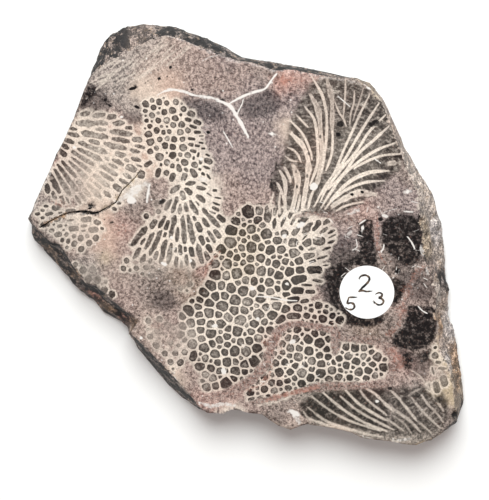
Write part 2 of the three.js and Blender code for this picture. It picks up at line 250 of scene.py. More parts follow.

# %% [markdown]
# ## The coral's tubes, cut across
# Each branch of the coral is a bundle of tubes that side by side share thin pale
# walls. Where the saw crossed a branch they are round cells, 1 to 2.5 mm wide, and
# where it ran along one they are long slots. The biggest cells are listed one by one:
# x, y, half width, and where it matters the tone from 0, black, to 1, pale.

# %% The middle branch
MIDDLE = [
    (1.8, 7.1, 1.35, 0.1), (4.2, 7.5, 0.9), (-1.2, 4.9, 0.95, 0.15), (-2.2, 2.6, 1.2, 0.2),
    (0.3, 2.1, 0.8, 0.2), (2.4, 3.1, 1.05), (5.9, 2.0, 1.2, 0.4), (-2.5, -0.3, 1.3), (0.1, -1.5, 0.8),
    (2.4, -1.2, 1.2), (4.9, -1.3, 0.8), (6.9, -1.9, 1.05), (9.6, -1.8, 0.9), (12.4, 0.0, 1.0),
    (12.7, -2.5, 1.15), (15.7, 0.1, 1.0), (-4.7, -2.1, 1.05), (-1.0, -4.0, 0.8), (4.7, -4.0, 0.9),
    (8.4, -5.2, 0.95, 0.2), (13.7, -4.3, 0.9, 0.3), (-3.4, -5.5, 1.1), (-6.4, -5.6, 1.1), (2.0, -6.7, 1.15),
    (4.8, -7.1, 1.05), (9.0, -8.1, 0.95, 0.3), (11.6, -7.1, 1.05, 0.15), (14.1, -6.8, 0.95, 0.1),
    (-6.1, -8.3, 1.2, 0.2), (-3.6, -8.4, 0.95), (-1.1, -7.9, 1.2), (1.1, -9.5, 0.85),
    (3.1, -9.7, 0.85, 0.35),
    (6.7, -10.0, 0.95), (11.0, -10.5, 1.15, 0.0), (-7.2, -11.1, 1.2, 0.45), (-4.8, -11.0, 0.9),
    (-2.5, -11.6, 1.1), (0.5, -12.2, 1.2), (2.7, -12.7, 0.85), (7.0, -12.1, 0.85, 0.7),
    (-8.9, -12.9, 1.1, 0.3),
    (-6.2, -13.7, 1.05), (-4.0, -13.5, 1.0, 0.4), (-1.5, -14.5, 1.3), (1.5, -14.8, 1.15),
    (4.6, -13.9, 1.0, 0.3), (-10.0, -14.6, 0.8, 0.2), (-7.7, -15.4, 1.05, 0.25), (-4.6, -16.1, 1.4),
    (-1.7, -17.1, 1.2), (0.7, -17.0, 0.95), (6.0, -16.1, 0.8), (8.6, -15.6, 1.1, 0.75),
    (10.6, -16.4, 0.95, 0.2), (13.7, -16.0, 0.95, 0.3), (-10.6, -16.4, 0.85, 0.4),
    (-12.6, -17.5, 1.25, 0.15),
    (-14.1, -18.8, 0.85, 0.25), (-7.8, -17.7, 1.15), (-5.4, -18.0, 0.9, 0.35), (-3.2, -18.7, 1.1),
    (-0.2, -19.4, 1.3), (4.2, -17.9, 1.25, 0.7), (7.6, -18.0, 1.15, 0.35), (-10.2, -18.4, 0.95),
    (-12.4, -20.5, 1.05), (-9.8, -20.1, 0.95), (-7.4, -20.9, 0.95, 0.75), (-4.8, -20.5, 1.1),
    (3.2, -20.3, 1.1),
    (5.6, -19.7, 0.8), (-3.2, -21.8, 0.85, 0.35), (-1.0, -22.2, 1.2), (2.5, -22.2, 0.85),
    (4.7, -21.7, 0.85, 0.15), (7.0, -21.8, 1.0, 0.2), (-7.4, -22.9, 1.25, 0.4), (-9.8, -22.2, 0.9),
    (-12.0, -23.1, 0.9, 0.7), (-14.1, -21.3, 0.85), (-3.5, -23.6, 0.95, 0.35), (4.1, -23.8, 1.05, 0.75),
    (-9.6, -24.4, 0.85, 0.7), (-5.3, -24.5, 0.95), (-0.2, -24.9, 0.85), (2.0, -24.5, 0.95),
    (-11.9, -25.7, 1.05), (-9.0, -26.5, 1.15), (-7.1, -25.5, 0.85), (-3.3, -25.7, 0.8, 0.2),
    (-1.6, -27.2, 1.25, 0.25), (1.1, -27.2, 1.15), (3.8, -26.3, 1.1, 0.1), (-4.0, -27.5, 0.85),
    (-6.3, -28.1, 1.0), (5.2, -28.3, 0.85), (3.2, -29.7, 1.3, 0.02), (-3.4, -30.1, 1.05, 0.2),
    (-1.4, -30.0, 0.8), (0.8, -30.6, 1.05, 0.3), (-1.4, -32.3, 1.15, 0.5), (0.8, -32.2, 0.8, 0.1),
    (-7.4, -31.8, 0.9, 0.3), (-1.8, -34.0, 0.8, 0.1), (-3.7, -35.5, 1.35, 0.0), (-7.0, -34.3, 0.9),
    (-8.6, -33.4, 0.85), (-6.4, -36.1, 0.85, 0.15), (-8.4, -36.5, 0.9), (10.3, 2.2, 0.8, 0.5),
]
print(len(MIDDLE), "cells set by hand in the middle branch")

# %% The upper left and lower right branches
UPPER_LEFT = [
    (-20.7, 31.9, 0.7), (-18.2, 30.8, 0.7, 0.3), (-16.2, 31.2, 0.8), (-19.6, 28.8, 0.7, 0.35),
    (-17.6, 28.8, 0.75, 0.8), (-15.6, 29.3, 0.8), (-16.1, 27.9, 0.75), (-14.1, 27.9, 0.8, 0.65),
    (-21.7, 27.4, 0.6, 0.15), (-20.0, 26.4, 0.75), (-18.4, 26.0, 0.6), (-17.1, 26.2, 0.6),
    (-14.4, 26.1, 0.8, 0.65), (-12.6, 26.6, 0.7), (-22.0, 25.4, 0.85, 0.3), (-21.6, 23.7, 0.9),
    (-19.3, 24.3, 0.65), (-17.5, 24.5, 0.65), (-16.0, 24.3, 0.75, 0.08), (-13.9, 24.5, 0.65),
    (-18.1, 22.9, 0.85, 0.03), (-16.3, 22.6, 0.8), (-13.7, 22.4, 0.9), (-12.7, 20.7, 0.8),
    (-16.3, 20.6, 0.85, 0.03), (-19.4, 20.1, 0.95), (-17.7, 18.8, 0.75, 0.8), (-16.4, 18.0, 0.6),
    (-13.5, 18.9, 0.85), (-11.1, 18.3, 0.8), (-17.8, 16.3, 0.7), (-17.6, 33.0, 0.6), (-15.4, 33.2, 0.7),
    (-13.6, 31.6, 0.7), (-21.6, 21.4, 0.7), (-20.2, 22.2, 0.6), (-24.0, 15.8, 0.95),
    (-20.2, 8.9, 0.75, 0.15),
    (-22.8, 5.7, 0.65, 0.1), (-19.9, 6.9, 0.6),
]
LOWER_RIGHT = [
    (13.6, -21.3, 0.9, 0.2), (16.0, -20.9, 0.75, 0.15), (17.8, -22.2, 0.9), (19.7, -21.8, 0.85, 0.2),
    (16.2, -23.7, 1.05, 0.03), (19.0, -24.6, 1.15, 0.2), (16.4, -26.7, 1.05), (20.7, -26.1, 0.75, 0.02),
    (19.0, -27.7, 0.85, 0.3), (13.8, -28.2, 1.05, 0.85), (17.1, -29.1, 0.95, 0.75), (11.9, -26.1, 0.85),
    (8.3, -29.9, 0.85, 0.2), (9.3, -32.2, 1.0, 0.2), (11.9, -32.1, 0.85, 0.08), (14.7, -32.3, 1.15, 0.9),
    (19.3, -32.1, 1.15, 0.15), (16.8, -33.4, 1.0, 0.03), (22.0, -31.3, 0.95), (19.4, -29.8, 0.95),
    (23.7, -28.3, 0.8, 0.1), (25.9, -27.7, 0.95, 0.7), (27.7, -29.0, 1.05), (25.5, -30.0, 0.95, 0.15),
    (27.1, -30.3, 0.65, 0.15), (28.5, -31.5, 1.05), (26.3, -33.0, 0.75, 0.0), (30.8, -31.1, 1.1, 0.3),
    (32.3, -32.2, 0.75, 0.85), (30.3, -32.9, 0.75, 0.1), (31.6, -29.5, 0.9, 0.15), (29.6, -27.6, 0.75),
    (27.5, -25.6, 0.95, 0.3), (29.6, -25.5, 0.75), (31.5, -26.5, 0.65), (32.7, -27.7, 1.05, 0.5),
    (30.8, -28.4, 0.65), (34.4, -30.2, 1.0, 0.15), (6.1, -25.2, 0.8, 0.2), (9.9, -22.3, 0.8, 0.15),
    (10.0, -27.2, 0.65), (14.7, -34.9, 0.95, 0.05), (9.3, -35.0, 0.75, 0.2), (8.1, -37.0, 0.8),
    (5.6, -33.4, 0.95, 0.05), (5.6, -36.6, 0.85, 0.2), (13.0, -33.6, 0.7), (2.3, -37.6, 0.85, 0.1),
    (18.6, -15.3, 0.85, 0.3), (15.8, -17.9, 0.75, 0.3), (19.6, -18.4, 0.95, 0.1), (20.3, -16.8, 0.65, 0.15),
    (22.0, -17.7, 0.75, 0.1), (23.6, -18.6, 0.9, 0.2), (48.7, -26.0, 0.9, 0.2), (23.4, -24.6, 0.7, 0.5),
]
print(len(UPPER_LEFT) + len(LOWER_RIGHT), "more cells set by hand")

# %% [markdown]
# ## The tubes, cut along or aslant
# A tube that the saw crossed at a slant is a slot. Each slot is set by the two ends
# of its axis, its half width and its tone. They splay out of each branch's middle,
# as the coral's tubes turned outwards to its surface.

# %% Slots: x and y of one end, x and y of the other, half width, tone
SLOTS = [
    # middle branch, towards the upper right
    (12.6, 2.3, 13.5, 3.4, 0.65), (15.0, 2.7, 16.8, 4.6, 0.85), (17.2, 3.6, 18.4, 5.0, 0.7),
    (18.9, 2.6, 20.4, 3.8, 0.5), (19.4, -1.6, 21.2, -0.9, 0.4), (18.2, -3.8, 20.4, -3.0, 0.4),
    (16.6, -6.5, 18.6, -6.4, 0.85, 0.08), (12.9, -9.2, 14.6, -8.7, 1.1, 0.0),
    (17.4, -9.0, 19.2, -9.3, 0.5, 0.6), (14.6, -10.2, 16.8, -10.3, 0.45, 0.2),
    (12.7, -11.7, 14.3, -11.6, 0.85, 0.0), (15.8, -11.9, 17.3, -11.9, 0.5, 0.2),
    (11.6, -14.2, 13.4, -13.8, 0.75, 0.03), (14.6, -14.4, 15.8, -14.1, 0.5, 0.2),
    (7.4, -13.9, 9.2, -13.7, 0.55, 0.5), (9.0, -19.3, 10.0, -18.6, 0.85, 0.15),
    (11.6, -18.1, 13.6, -17.9, 0.75, 0.4), (16.2, -1.6, 17.6, -1.2, 0.45), (16.5, -4.6, 17.6, -4.2, 0.4),
    (14.8, 0.9, 15.6, 2.0, 0.4), (20.9, 1.4, 22.4, 2.2, 0.35), (9.6, 4.0, 10.4, 6.0, 0.45),
    (12.0, 4.6, 12.8, 6.2, 0.5), (7.8, 3.6, 8.0, 5.6, 0.5), (19.6, -5.4, 20.8, -5.2, 0.3),
    # upper left branch, the edge and the splay below
    (-12.9, 29.2, -12.2, 29.0, 0.5), (-11.9, 27.6, -10.9, 27.3, 0.45, 0.2), (-10.8, 26.2, -9.9, 26.1, 0.45),
    (-12.3, 24.6, -11.2, 24.5, 0.4), (-12.2, 23.2, -11.5, 23.1, 0.45, 0.3),
    (-11.8, 21.7, -10.9, 21.5, 0.45),
    (-10.9, 23.0, -10.0, 22.9, 0.35), (-10.2, 21.2, -10.3, 20.4, 0.35), (-9.9, 25.3, -9.0, 25.3, 0.3),
    (-9.9, 23.7, -9.1, 23.6, 0.3), (-9.3, 22.3, -8.7, 22.3, 0.3), (-8.8, 18.0, -7.6, 17.5, 0.42, 0.1),
    (-8.2, 16.1, -7.4, 15.1, 0.42, 0.03), (-9.2, 16.3, -8.7, 16.1, 0.4),
    (-6.6, 12.3, -6.0, 12.3, 0.35, 0.15),
    (-6.2, 10.6, -4.9, 10.4, 0.32), (-6.6, 9.3, -5.3, 8.8, 0.42, 0.15), (-7.6, 7.2, -6.2, 6.7, 0.33),
    (-8.3, 20.9, -7.6, 20.6, 0.3), (-9.3, 14.1, -8.2, 13.6, 0.35), (-8.1, 11.6, -7.2, 11.0, 0.35),
    (-11.6, 16.9, -11.0, 15.9, 0.7), (-14.9, 17.9, -14.7, 17.1, 0.6), (-20.0, 15.7, -19.6, 16.9, 0.6, 0.1),
    (-22.7, 18.0, -21.7, 18.7, 0.55, 0.15), (-16.5, 14.9, -16.3, 15.7, 0.7, 0.35),
    # far left, below the crack
    (-47.4, 7.6, -46.9, 7.6, 0.4, 0.1), (-49.5, 5.6, -49.0, 5.7, 0.42, 0.0),
    (-47.0, 5.6, -45.8, 5.9, 0.45, 0.25),
    (-41.9, 4.2, -40.5, 4.4, 0.42, 0.5), (-44.2, 2.7, -43.6, 2.9, 0.45, 0.3),
    (-42.0, -1.1, -41.8, -0.7, 0.5, 0.2),
    (-29.6, 8.8, -29.2, 8.8, 0.45, 0.4), (-30.7, 7.4, -30.3, 7.2, 0.45, 0.4),
    # right edge of the lower right branch
    (48.7, -27.9, 49.5, -27.9, 0.32, 0.05), (47.7, -30.0, 49.2, -30.0, 0.48, 0.08),
    (46.0, -29.9, 46.4, -31.4, 0.4, 0.15),
]
print(len(SLOTS), "slots set by hand")

# %% [markdown]
# ## Small cells in between
# Young tubes squeeze in between the grown ones, so a branch has many small cells
# that nobody would set by hand. Each zone below is an outline with the half widths
# of its small cells, from large to small. Points are tried at random inside it and
# kept where there is room, which is how the coral packed itself. Two zones are cut
# lengthwise: there long tubes are laid first, in rings that spread from one middle,
# and small cells only fill what is left.

# %% Zones of small cells: outline, half widths, room between, tone
ZONES = {
    "middle": ([(1.0, 8.6), (5.4, 8.4), (8.6, 7.6), (12.0, 7.0), (14.5, 6.4), (20.0, 5.8), (21.8, 3.4),
                (21.6, -0.6), (20.6, -4.2), (18.8, -8.0), (17.8, -12.0), (16.0, -14.8), (14.0, -17.2),
                (11.0, -20.0), (7.8, -23.2), (5.8, -26.8), (5.6, -29.4), (3.6, -31.6), (1.0, -33.4),
                (-2.2, -36.8), (-6.0, -37.6), (-9.4, -37.0), (-10.0, -32.0), (-12.8, -27.4),
                (-15.2, -23.6), (-15.4, -19.4), (-12.6, -15.2), (-9.8, -11.8), (-7.6, -8.0),
                (-7.0, -5.0), (-5.6, -1.6), (-3.4, 1.6), (-2.0, 5.6)],
               (0.75, 0.6, 0.45, 0.36), 0.42, 0.45),
    "upper_left": ([(-23.0, 33.0), (-20.0, 34.4), (-16.0, 34.2), (-12.6, 32.2), (-10.0, 28.6), (-8.6, 25.0),
                    (-7.4, 20.6), (-6.8, 16.6), (-9.4, 15.4), (-13.0, 16.8), (-17.4, 17.0), (-19.4, 18.0),
                    (-20.4, 21.0), (-22.8, 22.0), (-23.0, 27.0)],
                   (0.6, 0.48, 0.36, 0.28), 0.42, 0.5),
    "lower_right": ([(8.6, -20.6), (12.6, -20.0), (21.0, -20.4), (22.0, -24.0), (24.6, -24.6),
      (31.0, -24.6),
                     (34.6, -27.6), (35.4, -31.2), (31.6, -33.6), (24.0, -33.8), (18.4, -34.6),
                     (12.4, -37.4), (8.4, -39.4), (1.6, -40.0), (1.8, -36.4), (5.4, -32.0), (6.6, -26.4)],
                    (0.75, 0.6, 0.48, 0.36, 0.28), 0.38, 0.3),
    "by_label": ([(14.6, -16.2), (18.0, -14.2), (21.4, -15.6), (24.8, -17.6), (24.6, -19.8), (20.0, -20.2),
                  (14.6, -19.4)], (0.5, 0.38, 0.3), 0.32, 0.15),
    "left_fan": ([(-47.8, 11.6), (-43.8, 19.6), (-40.2, 27.4), (-37.4, 30.6), (-31.0, 30.0), (-25.0, 26.0),
                  (-23.2, 20.6), (-24.8, 15.6), (-29.6, 12.0), (-34.0, 9.6), (-43.0, 8.8)],
                 (0.5, 0.42, 0.34), 0.3, 0.72),
    "splay": ([(-17.0, 12.0), (-19.5, 7.0), (-23.0, 3.0), (-27.5, -1.6), (-25.0, -4.8), (-18.4, -6.8),
               (-12.0, -6.6), (-8.0, -5.0), (-5.4, -0.6), (-4.6, 5.6), (-6.4, 10.4), (-9.0, 15.0),
               (-13.0, 16.6)], (0.5, 0.42, 0.34), 0.3, 0.62),
    "far_left": ([(-49.0, 6.8), (-44.0, 8.4), (-40.0, 6.6), (-35.0, 5.4), (-33.0, 3.0), (-34.6, -0.6),
                  (-38.0, -3.4), (-42.6, -2.6), (-45.6, 0.6), (-48.4, 3.4)],
                 (0.7, 0.5, 0.4, 0.3), 0.4, 0.3),
    "faint_low": ([(-29.6, -4.0), (-21.0, -5.0), (-14.0, -6.4), (-11.4, -9.0), (-13.0, -13.0),
      (-18.0, -10.4),
                   (-24.0, -8.8), (-29.6, -7.6)], (0.7, 0.5, 0.4), 0.6, 0.4),
    "low_left": ([(-24.0, -19.4), (-19.0, -19.0), (-15.6, -22.0), (-14.6, -26.0), (-12.4, -29.0),
                  (-16.8, -32.6), (-22.0, -27.0)], (0.75, 0.55, 0.4), 0.8, 0.55),
    "lower_edge": ([(-41.0, -6.4), (-36.0, -6.0), (-33.4, -9.0), (-30.4, -14.6), (-33.6, -14.6),
                    (-38.0, -10.4)], (0.8, 0.6, 0.45), 0.6, 0.4),
    "right_edge": ([(46.4, -24.6), (49.2, -25.0), (50.2, -31.8), (49.4, -36.0), (45.0, -35.4),
      (46.0, -30.6)],
                   (0.8, 0.6, 0.4), 0.5, 0.3),
}
UNEVEN_TONE = 0.2

# Zones cut lengthwise: the middle their tubes spread from, radii of the rings, room side to side
LENGTHWISE = {
    "left_fan": ((-51.0, 27.5), (6.0, 13.0, 20.0, 25.5, 31.0), 1.6),
    "splay": ((-14.3, 13.5), (4.0, 8.0, 14.0, 20.5, 25.0), 1.45),
}
RING_UNEVEN = 0.14                      # how unevenly the tubes of a ring stand round it
RING_STAGGER = 0.8                      # how far their ends stray in and out
RING_GAP = 1.0                          # room between the ends of one ring and the next
SHORTEST_TUBE = 1.0
TUBE_SHARE = 0.38                       # half width of a long tube, as a share of its room

# How far cells grow, as a share of their half width: those set by hand, those filled in
GROWTH = {
    "middle": (1.5, 2.0), "upper_left": (1.25, 1.5), "lower_right": (1.4, 1.9), "by_label": (1.25, 1.6),
    "left_fan": (1.0, 1.7), "splay": (1.0, 1.6),
}
OTHER_GROWTH = (1.0, 1.2)               # in every other zone
SLOT_GROWTH = 1.2
ROOM_SHARE = 0.75                       # a cell is tried with this share of its zone's room
BY_HAND = (("middle", MIDDLE), ("upper_left", UPPER_LEFT), ("lower_right", LOWER_RIGHT))
grow = [GROWTH[label][0] for label, part in BY_HAND for _ in part] + [SLOT_GROWTH] * len(SLOTS)

# %% Lay the listed cells, then the long tubes, then the small ones
cells = []                              # x, y, x, y, half width, tone
for x, y, half, *tone in MIDDLE + UPPER_LEFT + LOWER_RIGHT:
    level = tone[0] if tone else float(np.clip(rng.normal(0.5, UNEVEN_TONE), 0.2, 0.9))
    lean = rng.uniform(0, math.pi)
    reach = rng.uniform(0.0, 0.16) * half
    cells.append((x - reach * math.cos(lean), y - reach * math.sin(lean),
                  x + reach * math.cos(lean), y + reach * math.sin(lean), half, level))
for x0, y0, x1, y1, half, *tone in SLOTS:
    level = tone[0] if tone else float(np.clip(rng.normal(0.4, UNEVEN_TONE), 0.12, 0.8))
    cells.append((x0, y0, x1, y1, half, level))
by_hand = np.array(cells)
hand_span = by_hand[:, 2:4] - by_hand[:, :2]
for label, (middle, radii, pitch) in LENGTHWISE.items():
    outline, halves, room, tone = ZONES[label]
    for near, far in zip(radii, radii[1:]):
        count = int(math.pi * (near + far) / pitch)
        for turn in (np.arange(count) + rng.uniform(0, 1)) * 2 * math.pi / count:
            turn += RING_UNEVEN * math.pi / count * rng.standard_normal()
            ray = np.array([math.cos(turn), math.sin(turn)])
            start = near + RING_STAGGER * rng.standard_normal()
            end = far - RING_GAP + RING_STAGGER * rng.standard_normal()
            tips = np.array(middle) + np.array([[start], [(start + end) / 2], [end]]) * ray
            known = np.array(cells)
            gaps = segment_distance(tips, known[:, :2], known[:, 2:4]) - known[:, 4]
            fits = depth_inside(tips, outline).min() > 0.1 and gaps.min() > 0.5
            if end - start > SHORTEST_TUBE and fits:
                level = float(np.clip(rng.normal(tone, UNEVEN_TONE), 0.03, 0.95))
                cells.append((*tips[0], *tips[2], TUBE_SHARE * pitch, level))
                grow.append(GROWTH[label][1])
for label, (outline, halves, room, tone) in ZONES.items():
    corners = np.array(outline)
    low, high = corners.min(0), corners.max(0)
    for half in halves:
        tries = rng.uniform(low, high, (int(7 * np.prod(high - low) / half) + 200, 2))
        tries = tries[depth_inside(tries, outline) > half * 0.5]
        known = np.array(cells)
        gaps = (segment_distance(tries, known[:, :2], known[:, 2:4]) - known[:, 4]).min(1)
        for spot in tries[gaps > half + room * ROOM_SHARE]:
            like = segment_distance(spot[None], by_hand[:, :2], by_hand[:, 2:4])[0].argmin()
            along = hand_span[like]
            step = along * min(0.45, 0.35 * half / by_hand[like, 4])
            if np.linalg.norm(along) < by_hand[like, 4] * 0.5:
                lean = rng.uniform(0, math.pi)
                step = rng.uniform(0.0, 0.35) * half * np.array([math.cos(lean), math.sin(lean)])
            if label in LENGTHWISE:
                step = (spot - LENGTHWISE[label][0]) / np.linalg.norm(spot - LENGTHWISE[label][0])
                step = step * rng.uniform(1.0, 3.0) * half
            ends = spot + np.linspace(-1, 1, 9)[:, None] * step
            before = np.array(cells)
            box = (np.abs((before[:, :2] + before[:, 2:4]) / 2 - spot) < 5).all(1)
            near = segment_distance(ends, before[box, :2], before[box, 2:4]) - before[box, 4]
            if near.size == 0 or near.min() > half + room * ROOM_SHARE:
                level = float(np.clip(rng.normal(tone, UNEVEN_TONE), 0.03, 0.95))
                cells.append((*(spot - step), *(spot + step), half, level))
                grow.append(GROWTH.get(label, OTHER_GROWTH)[1])
cells = np.array(cells)
print(len(by_hand), "cells by hand,", len(cells) - len(by_hand), "small ones filled in")

# %% [markdown]
# ## The outline of every cell
# A tube grows out until it meets its neighbours, and leaves a wall between. So from
# each cell's axis a ray goes out in every direction, and stops where the cell has
# grown as far as it may, or where a neighbour would be as near, less the wall. A
# power mean of all the limits rounds the corners, so the cells are round where they
# have room and rounded polygons where they crowd.

# %% Cell outlines
WALL = 0.16                             # thickness of a wall between two cells
CORNER = 14.0                           # the higher, the sharper the corners
LIP = 0.17                              # width of the soft edge from wall to cell
RIM_SHADE = 0.55                        # how much darker a cell is at its wall
LONG = 3.0                              # a cell this many half widths long is a long tube
LONG_LIP, LONG_RIM_SHADE = 0.26, 0.15   # the same two for a long tube
MIDDLE_LIFT = 0.18                      # how much paler a round cell is in its middle
TUBE_ENDS, TUBE_SWELL = 0.7, 0.3        # width of a long tube at its ends, and what its middle adds
axis_a, axis_b, half_width, cell_tone = cells[:, :2], cells[:, 2:4], cells[:, 4], cells[:, 5]
centres = (axis_a + axis_b) / 2
lengths = np.linalg.norm(axis_b - axis_a, axis=1)


def spokes(number):
    """Starts on a cell's axis, directions out of it and shares along it, going round it."""
    half, length = half_width[number], lengths[number]
    if length < half * 0.5:
        count = 8 if half < 0.5 else 12 if half < 0.95 else 14
        turn = np.arange(count) * 2 * math.pi / count + rng.uniform(0, 1)
        return (np.repeat(centres[number][None], count, 0),
                np.stack([np.cos(turn), np.sin(turn)], 1), np.full(count, 0.5))
    heading = math.atan2(*(axis_b[number] - axis_a[number])[::-1])
    side = np.linspace(0.0, 1.0, max(2, int(length / 0.6) + 1))
    cap = np.radians([-60, -20, 20, 60]) if half > 0.35 else np.radians([-45, 45])
    shares = np.concatenate([side, np.ones(len(cap)), side[::-1], np.zeros(len(cap))])
    turns = np.concatenate([np.full(len(side), -math.pi / 2), cap,
                            np.full(len(side), math.pi / 2), cap + math.pi]) + heading
    starts = axis_a[number] + shares[:, None] * (axis_b[number] - axis_a[number])
    return starts, np.stack([np.cos(turns), np.sin(turns)], 1), shares


def reach_of(number):
    """Spoke starts, directions and lengths from a cell's axis to its outline."""
    starts, out, shares = spokes(number)
    half = half_width[number]
    apart = np.linalg.norm(centres - centres[number], axis=1)
    span = half_width + lengths / 2
    near = np.flatnonzero(apart < span + span[number] + 1.8 * half + WALL)
    near = near[near != number]
    uneven = half * (grow[number] + 0.07 * rng.standard_normal(len(out)))
    far = half * 2.6
    shortest, longest = np.zeros((len(out), len(near))), np.full((len(out), len(near)), far)
    for _ in range(13):
        middle = (shortest + longest) / 2
        spot = starts[:, None] + middle[..., None] * out[:, None]
        along = axis_b[near] - axis_a[near]
        size = np.maximum((along ** 2).sum(-1), 1e-12)
        share = np.clip(((spot - axis_a[near]) * along).sum(-1) / size, 0, 1)
        gap = np.linalg.norm(spot - axis_a[near] - share[..., None] * along, axis=-1)
        clear = gap - half_width[near] - (middle - half) > WALL
        shortest, longest = np.where(clear, middle, shortest), np.where(clear, longest, middle)
    limits = np.concatenate([np.maximum(shortest, half * 0.22), uneven[:, None]], 1)
    reach = (limits ** -CORNER).sum(1) ** (-1.0 / CORNER)
    if lengths[number] > LONG * half:   # a tube cut lengthwise thins out towards its ends
        reach *= TUBE_ENDS + TUBE_SWELL * np.sqrt(1 - np.abs(2 * shares - 1) ** 4)
        reach *= 1 + 0.08 * rng.standard_normal(len(reach))
    return starts, out, reach


sheet = {"at": [], "edges": [], "coral": [], "lumen": [], "tone": []}


def put(points, coral, lumen, tone, loop=False, line=False):
    """Adds points to the drawing, joined to a closed loop or to an open line if asked."""
    first = len(sheet["at"])
    count = len(points)
    sheet["at"].extend(points)
    for label, value in (("coral", coral), ("lumen", lumen), ("tone", tone)):
        sheet[label].extend(np.broadcast_to(value, (count,)).tolist())
    if loop or line:
        steps = count if loop else count - 1
        sheet["edges"].extend([first + i, first + (i + 1) % count] for i in range(steps))


outlines = []
for number in range(len(cells)):
    starts, out, reach = reach_of(number)
    tone = cell_tone[number]
    outer = starts + reach[:, None] * out
    long = lengths[number] > LONG * half_width[number]
    lip, rim_shade = (LONG_LIP, LONG_RIM_SHADE) if long else (LIP, RIM_SHADE)
    inner = starts + np.maximum(reach - lip, reach * 0.4)[:, None] * out
    outlines.append(outer)
    put(outer, 1.0, 0.0, tone, loop=True)
    put(inner, 1.0, 1.0, tone - rim_shade, loop=True)
    if reach.mean() > 0.42:
        put(starts + (reach * 0.6)[:, None] * out, 1.0, 1.0, tone)
    if lengths[number] < half_width[number] * 0.5:
        put([centres[number]], 1.0, 1.0, tone + MIDDLE_LIFT)
cell_edge_points = np.concatenate(outlines)
print(len(sheet["at"]), "points in", len(outlines), "cell outlines")

# %% [markdown]
# ## Walls cut lengthwise
# Where the saw ran along the tubes, their walls are long pale lines that curve out
# from the middle of a branch like a fan of ribs, with dark stone in between. Each
# rib is a few points read along it with its width, made into a smooth curve.

# %% Ribs: width, brightness, points
FAN = [
    (0.6, 0.9, (8.5, 14.4), (9.6, 12.3), (10.1, 10.1)),
    (0.8, 1.0, (9.1, 17.3), (10.0, 15.8), (10.5, 13.9), (10.4, 10.1), (10.6, 7.9)),
    (0.6, 0.9, (10.2, 18.2), (11.2, 16.3), (11.7, 14.7)),
    (1.5, 0.9, (12.4, 18.5), (13.4, 15.0), (12.6, 10.1), (12.0, 7.6)),
    (0.3, 0.8, (10.6, 20.7), (11.6, 19.9), (13.1, 19.6)),
    (0.35, 0.9, (11.2, 22.8), (12.5, 22.2), (13.5, 21.0), (14.1, 19.6)),
    (1.4, 1.0, (11.9, 26.1), (14.7, 23.1), (15.9, 19.1), (15.5, 14.5), (14.6, 8.6)),
    (0.4, 0.9, (11.8, 29.0), (14.5, 26.1), (16.3, 22.1), (16.7, 20.2)),
    (0.3, 0.8, (13.1, 30.5), (14.4, 29.1), (15.7, 27.8)),
    (0.5, 1.0, (15.0, 32.5), (17.2, 29.4), (18.0, 23.7), (17.9, 18.8), (16.2, 13.9)),
    (1.3, 0.8, (16.2, 35.4), (18.0, 31.9), (18.7, 26.5), (19.0, 21.0), (18.2, 15.6), (17.4, 13.1)),
    (0.5, 0.9, (16.4, 39.7), (18.9, 35.4), (20.0, 30.6), (20.0, 25.2), (19.4, 19.5), (19.0, 17.0)),
    (1.1, 0.7, (20.0, 39.0), (21.2, 34.1), (21.3, 28.7), (21.4, 26.4)),
    (0.4, 0.9, (21.4, 27.0), (21.5, 25.2), (21.4, 22.2), (20.9, 20.1), (20.0, 17.6)),
    (0.3, 0.8, (22.0, 33.6), (22.9, 31.4), (24.0, 29.8), (24.6, 28.2)),
    (0.3, 0.7, (24.3, 39.0), (24.3, 36.1), (24.1, 33.1), (23.9, 30.4)),
    (0.3, 0.7, (26.4, 36.4), (26.3, 33.6), (25.7, 31.5), (25.4, 28.8)),
    (0.25, 0.6, (28.4, 37.0), (27.8, 34.6), (26.9, 32.0), (26.2, 29.6)),
    (0.4, 0.9, (29.8, 35.3), (27.6, 30.7), (25.9, 26.6), (24.1, 22.5), (22.3, 17.9), (19.6, 13.0),
     (18.3, 10.8)),
    (0.45, 1.0, (32.1, 33.6), (29.1, 28.8), (26.5, 24.2), (23.9, 19.5), (20.1, 14.3), (17.6, 9.4)),
    (0.45, 1.0, (33.7, 31.0), (30.0, 27.0), (27.1, 22.3), (23.6, 18.0), (20.1, 13.0), (18.8, 10.2)),
    (0.5, 1.0, (34.8, 28.6), (31.4, 25.3), (27.6, 21.8), (24.2, 17.1), (20.7, 13.2)),
    (0.5, 1.0, (36.5, 24.6), (31.7, 22.6), (27.4, 19.6), (23.7, 16.0), (20.4, 11.1), (19.0, 8.6)),
    (0.4, 0.9, (37.6, 21.9), (32.8, 21.3), (28.5, 19.4), (26.6, 18.2)),
    (1.0, 0.8, (37.1, 19.7), (35.8, 19.7), (34.5, 19.5)),
    (0.7, 1.0, (34.6, 17.8), (30.1, 17.3), (25.8, 15.2), (22.1, 11.6), (20.7, 9.4)),
    (0.5, 1.0, (33.4, 15.4), (29.1, 14.9), (24.7, 13.0), (21.3, 10.2), (20.0, 8.4)),
    (1.5, 0.9, (31.6, 12.1), (27.5, 12.3), (23.4, 10.3), (21.5, 8.9)),
    (0.4, 0.9, (28.6, 10.2), (26.2, 9.7), (24.2, 9.0), (22.6, 8.0)),
    (0.4, 0.8, (14.0, 11.4), (13.6, 9.4), (13.2, 7.6)),
    (0.45, 0.9, (17.2, 13.0), (16.4, 10.8), (15.9, 8.4)),
    (0.4, 0.9, (9.3, 12.0), (9.0, 9.6), (9.2, 7.2)), (0.4, 0.9, (7.6, 11.6), (7.0, 9.6), (6.8, 7.6)),
]
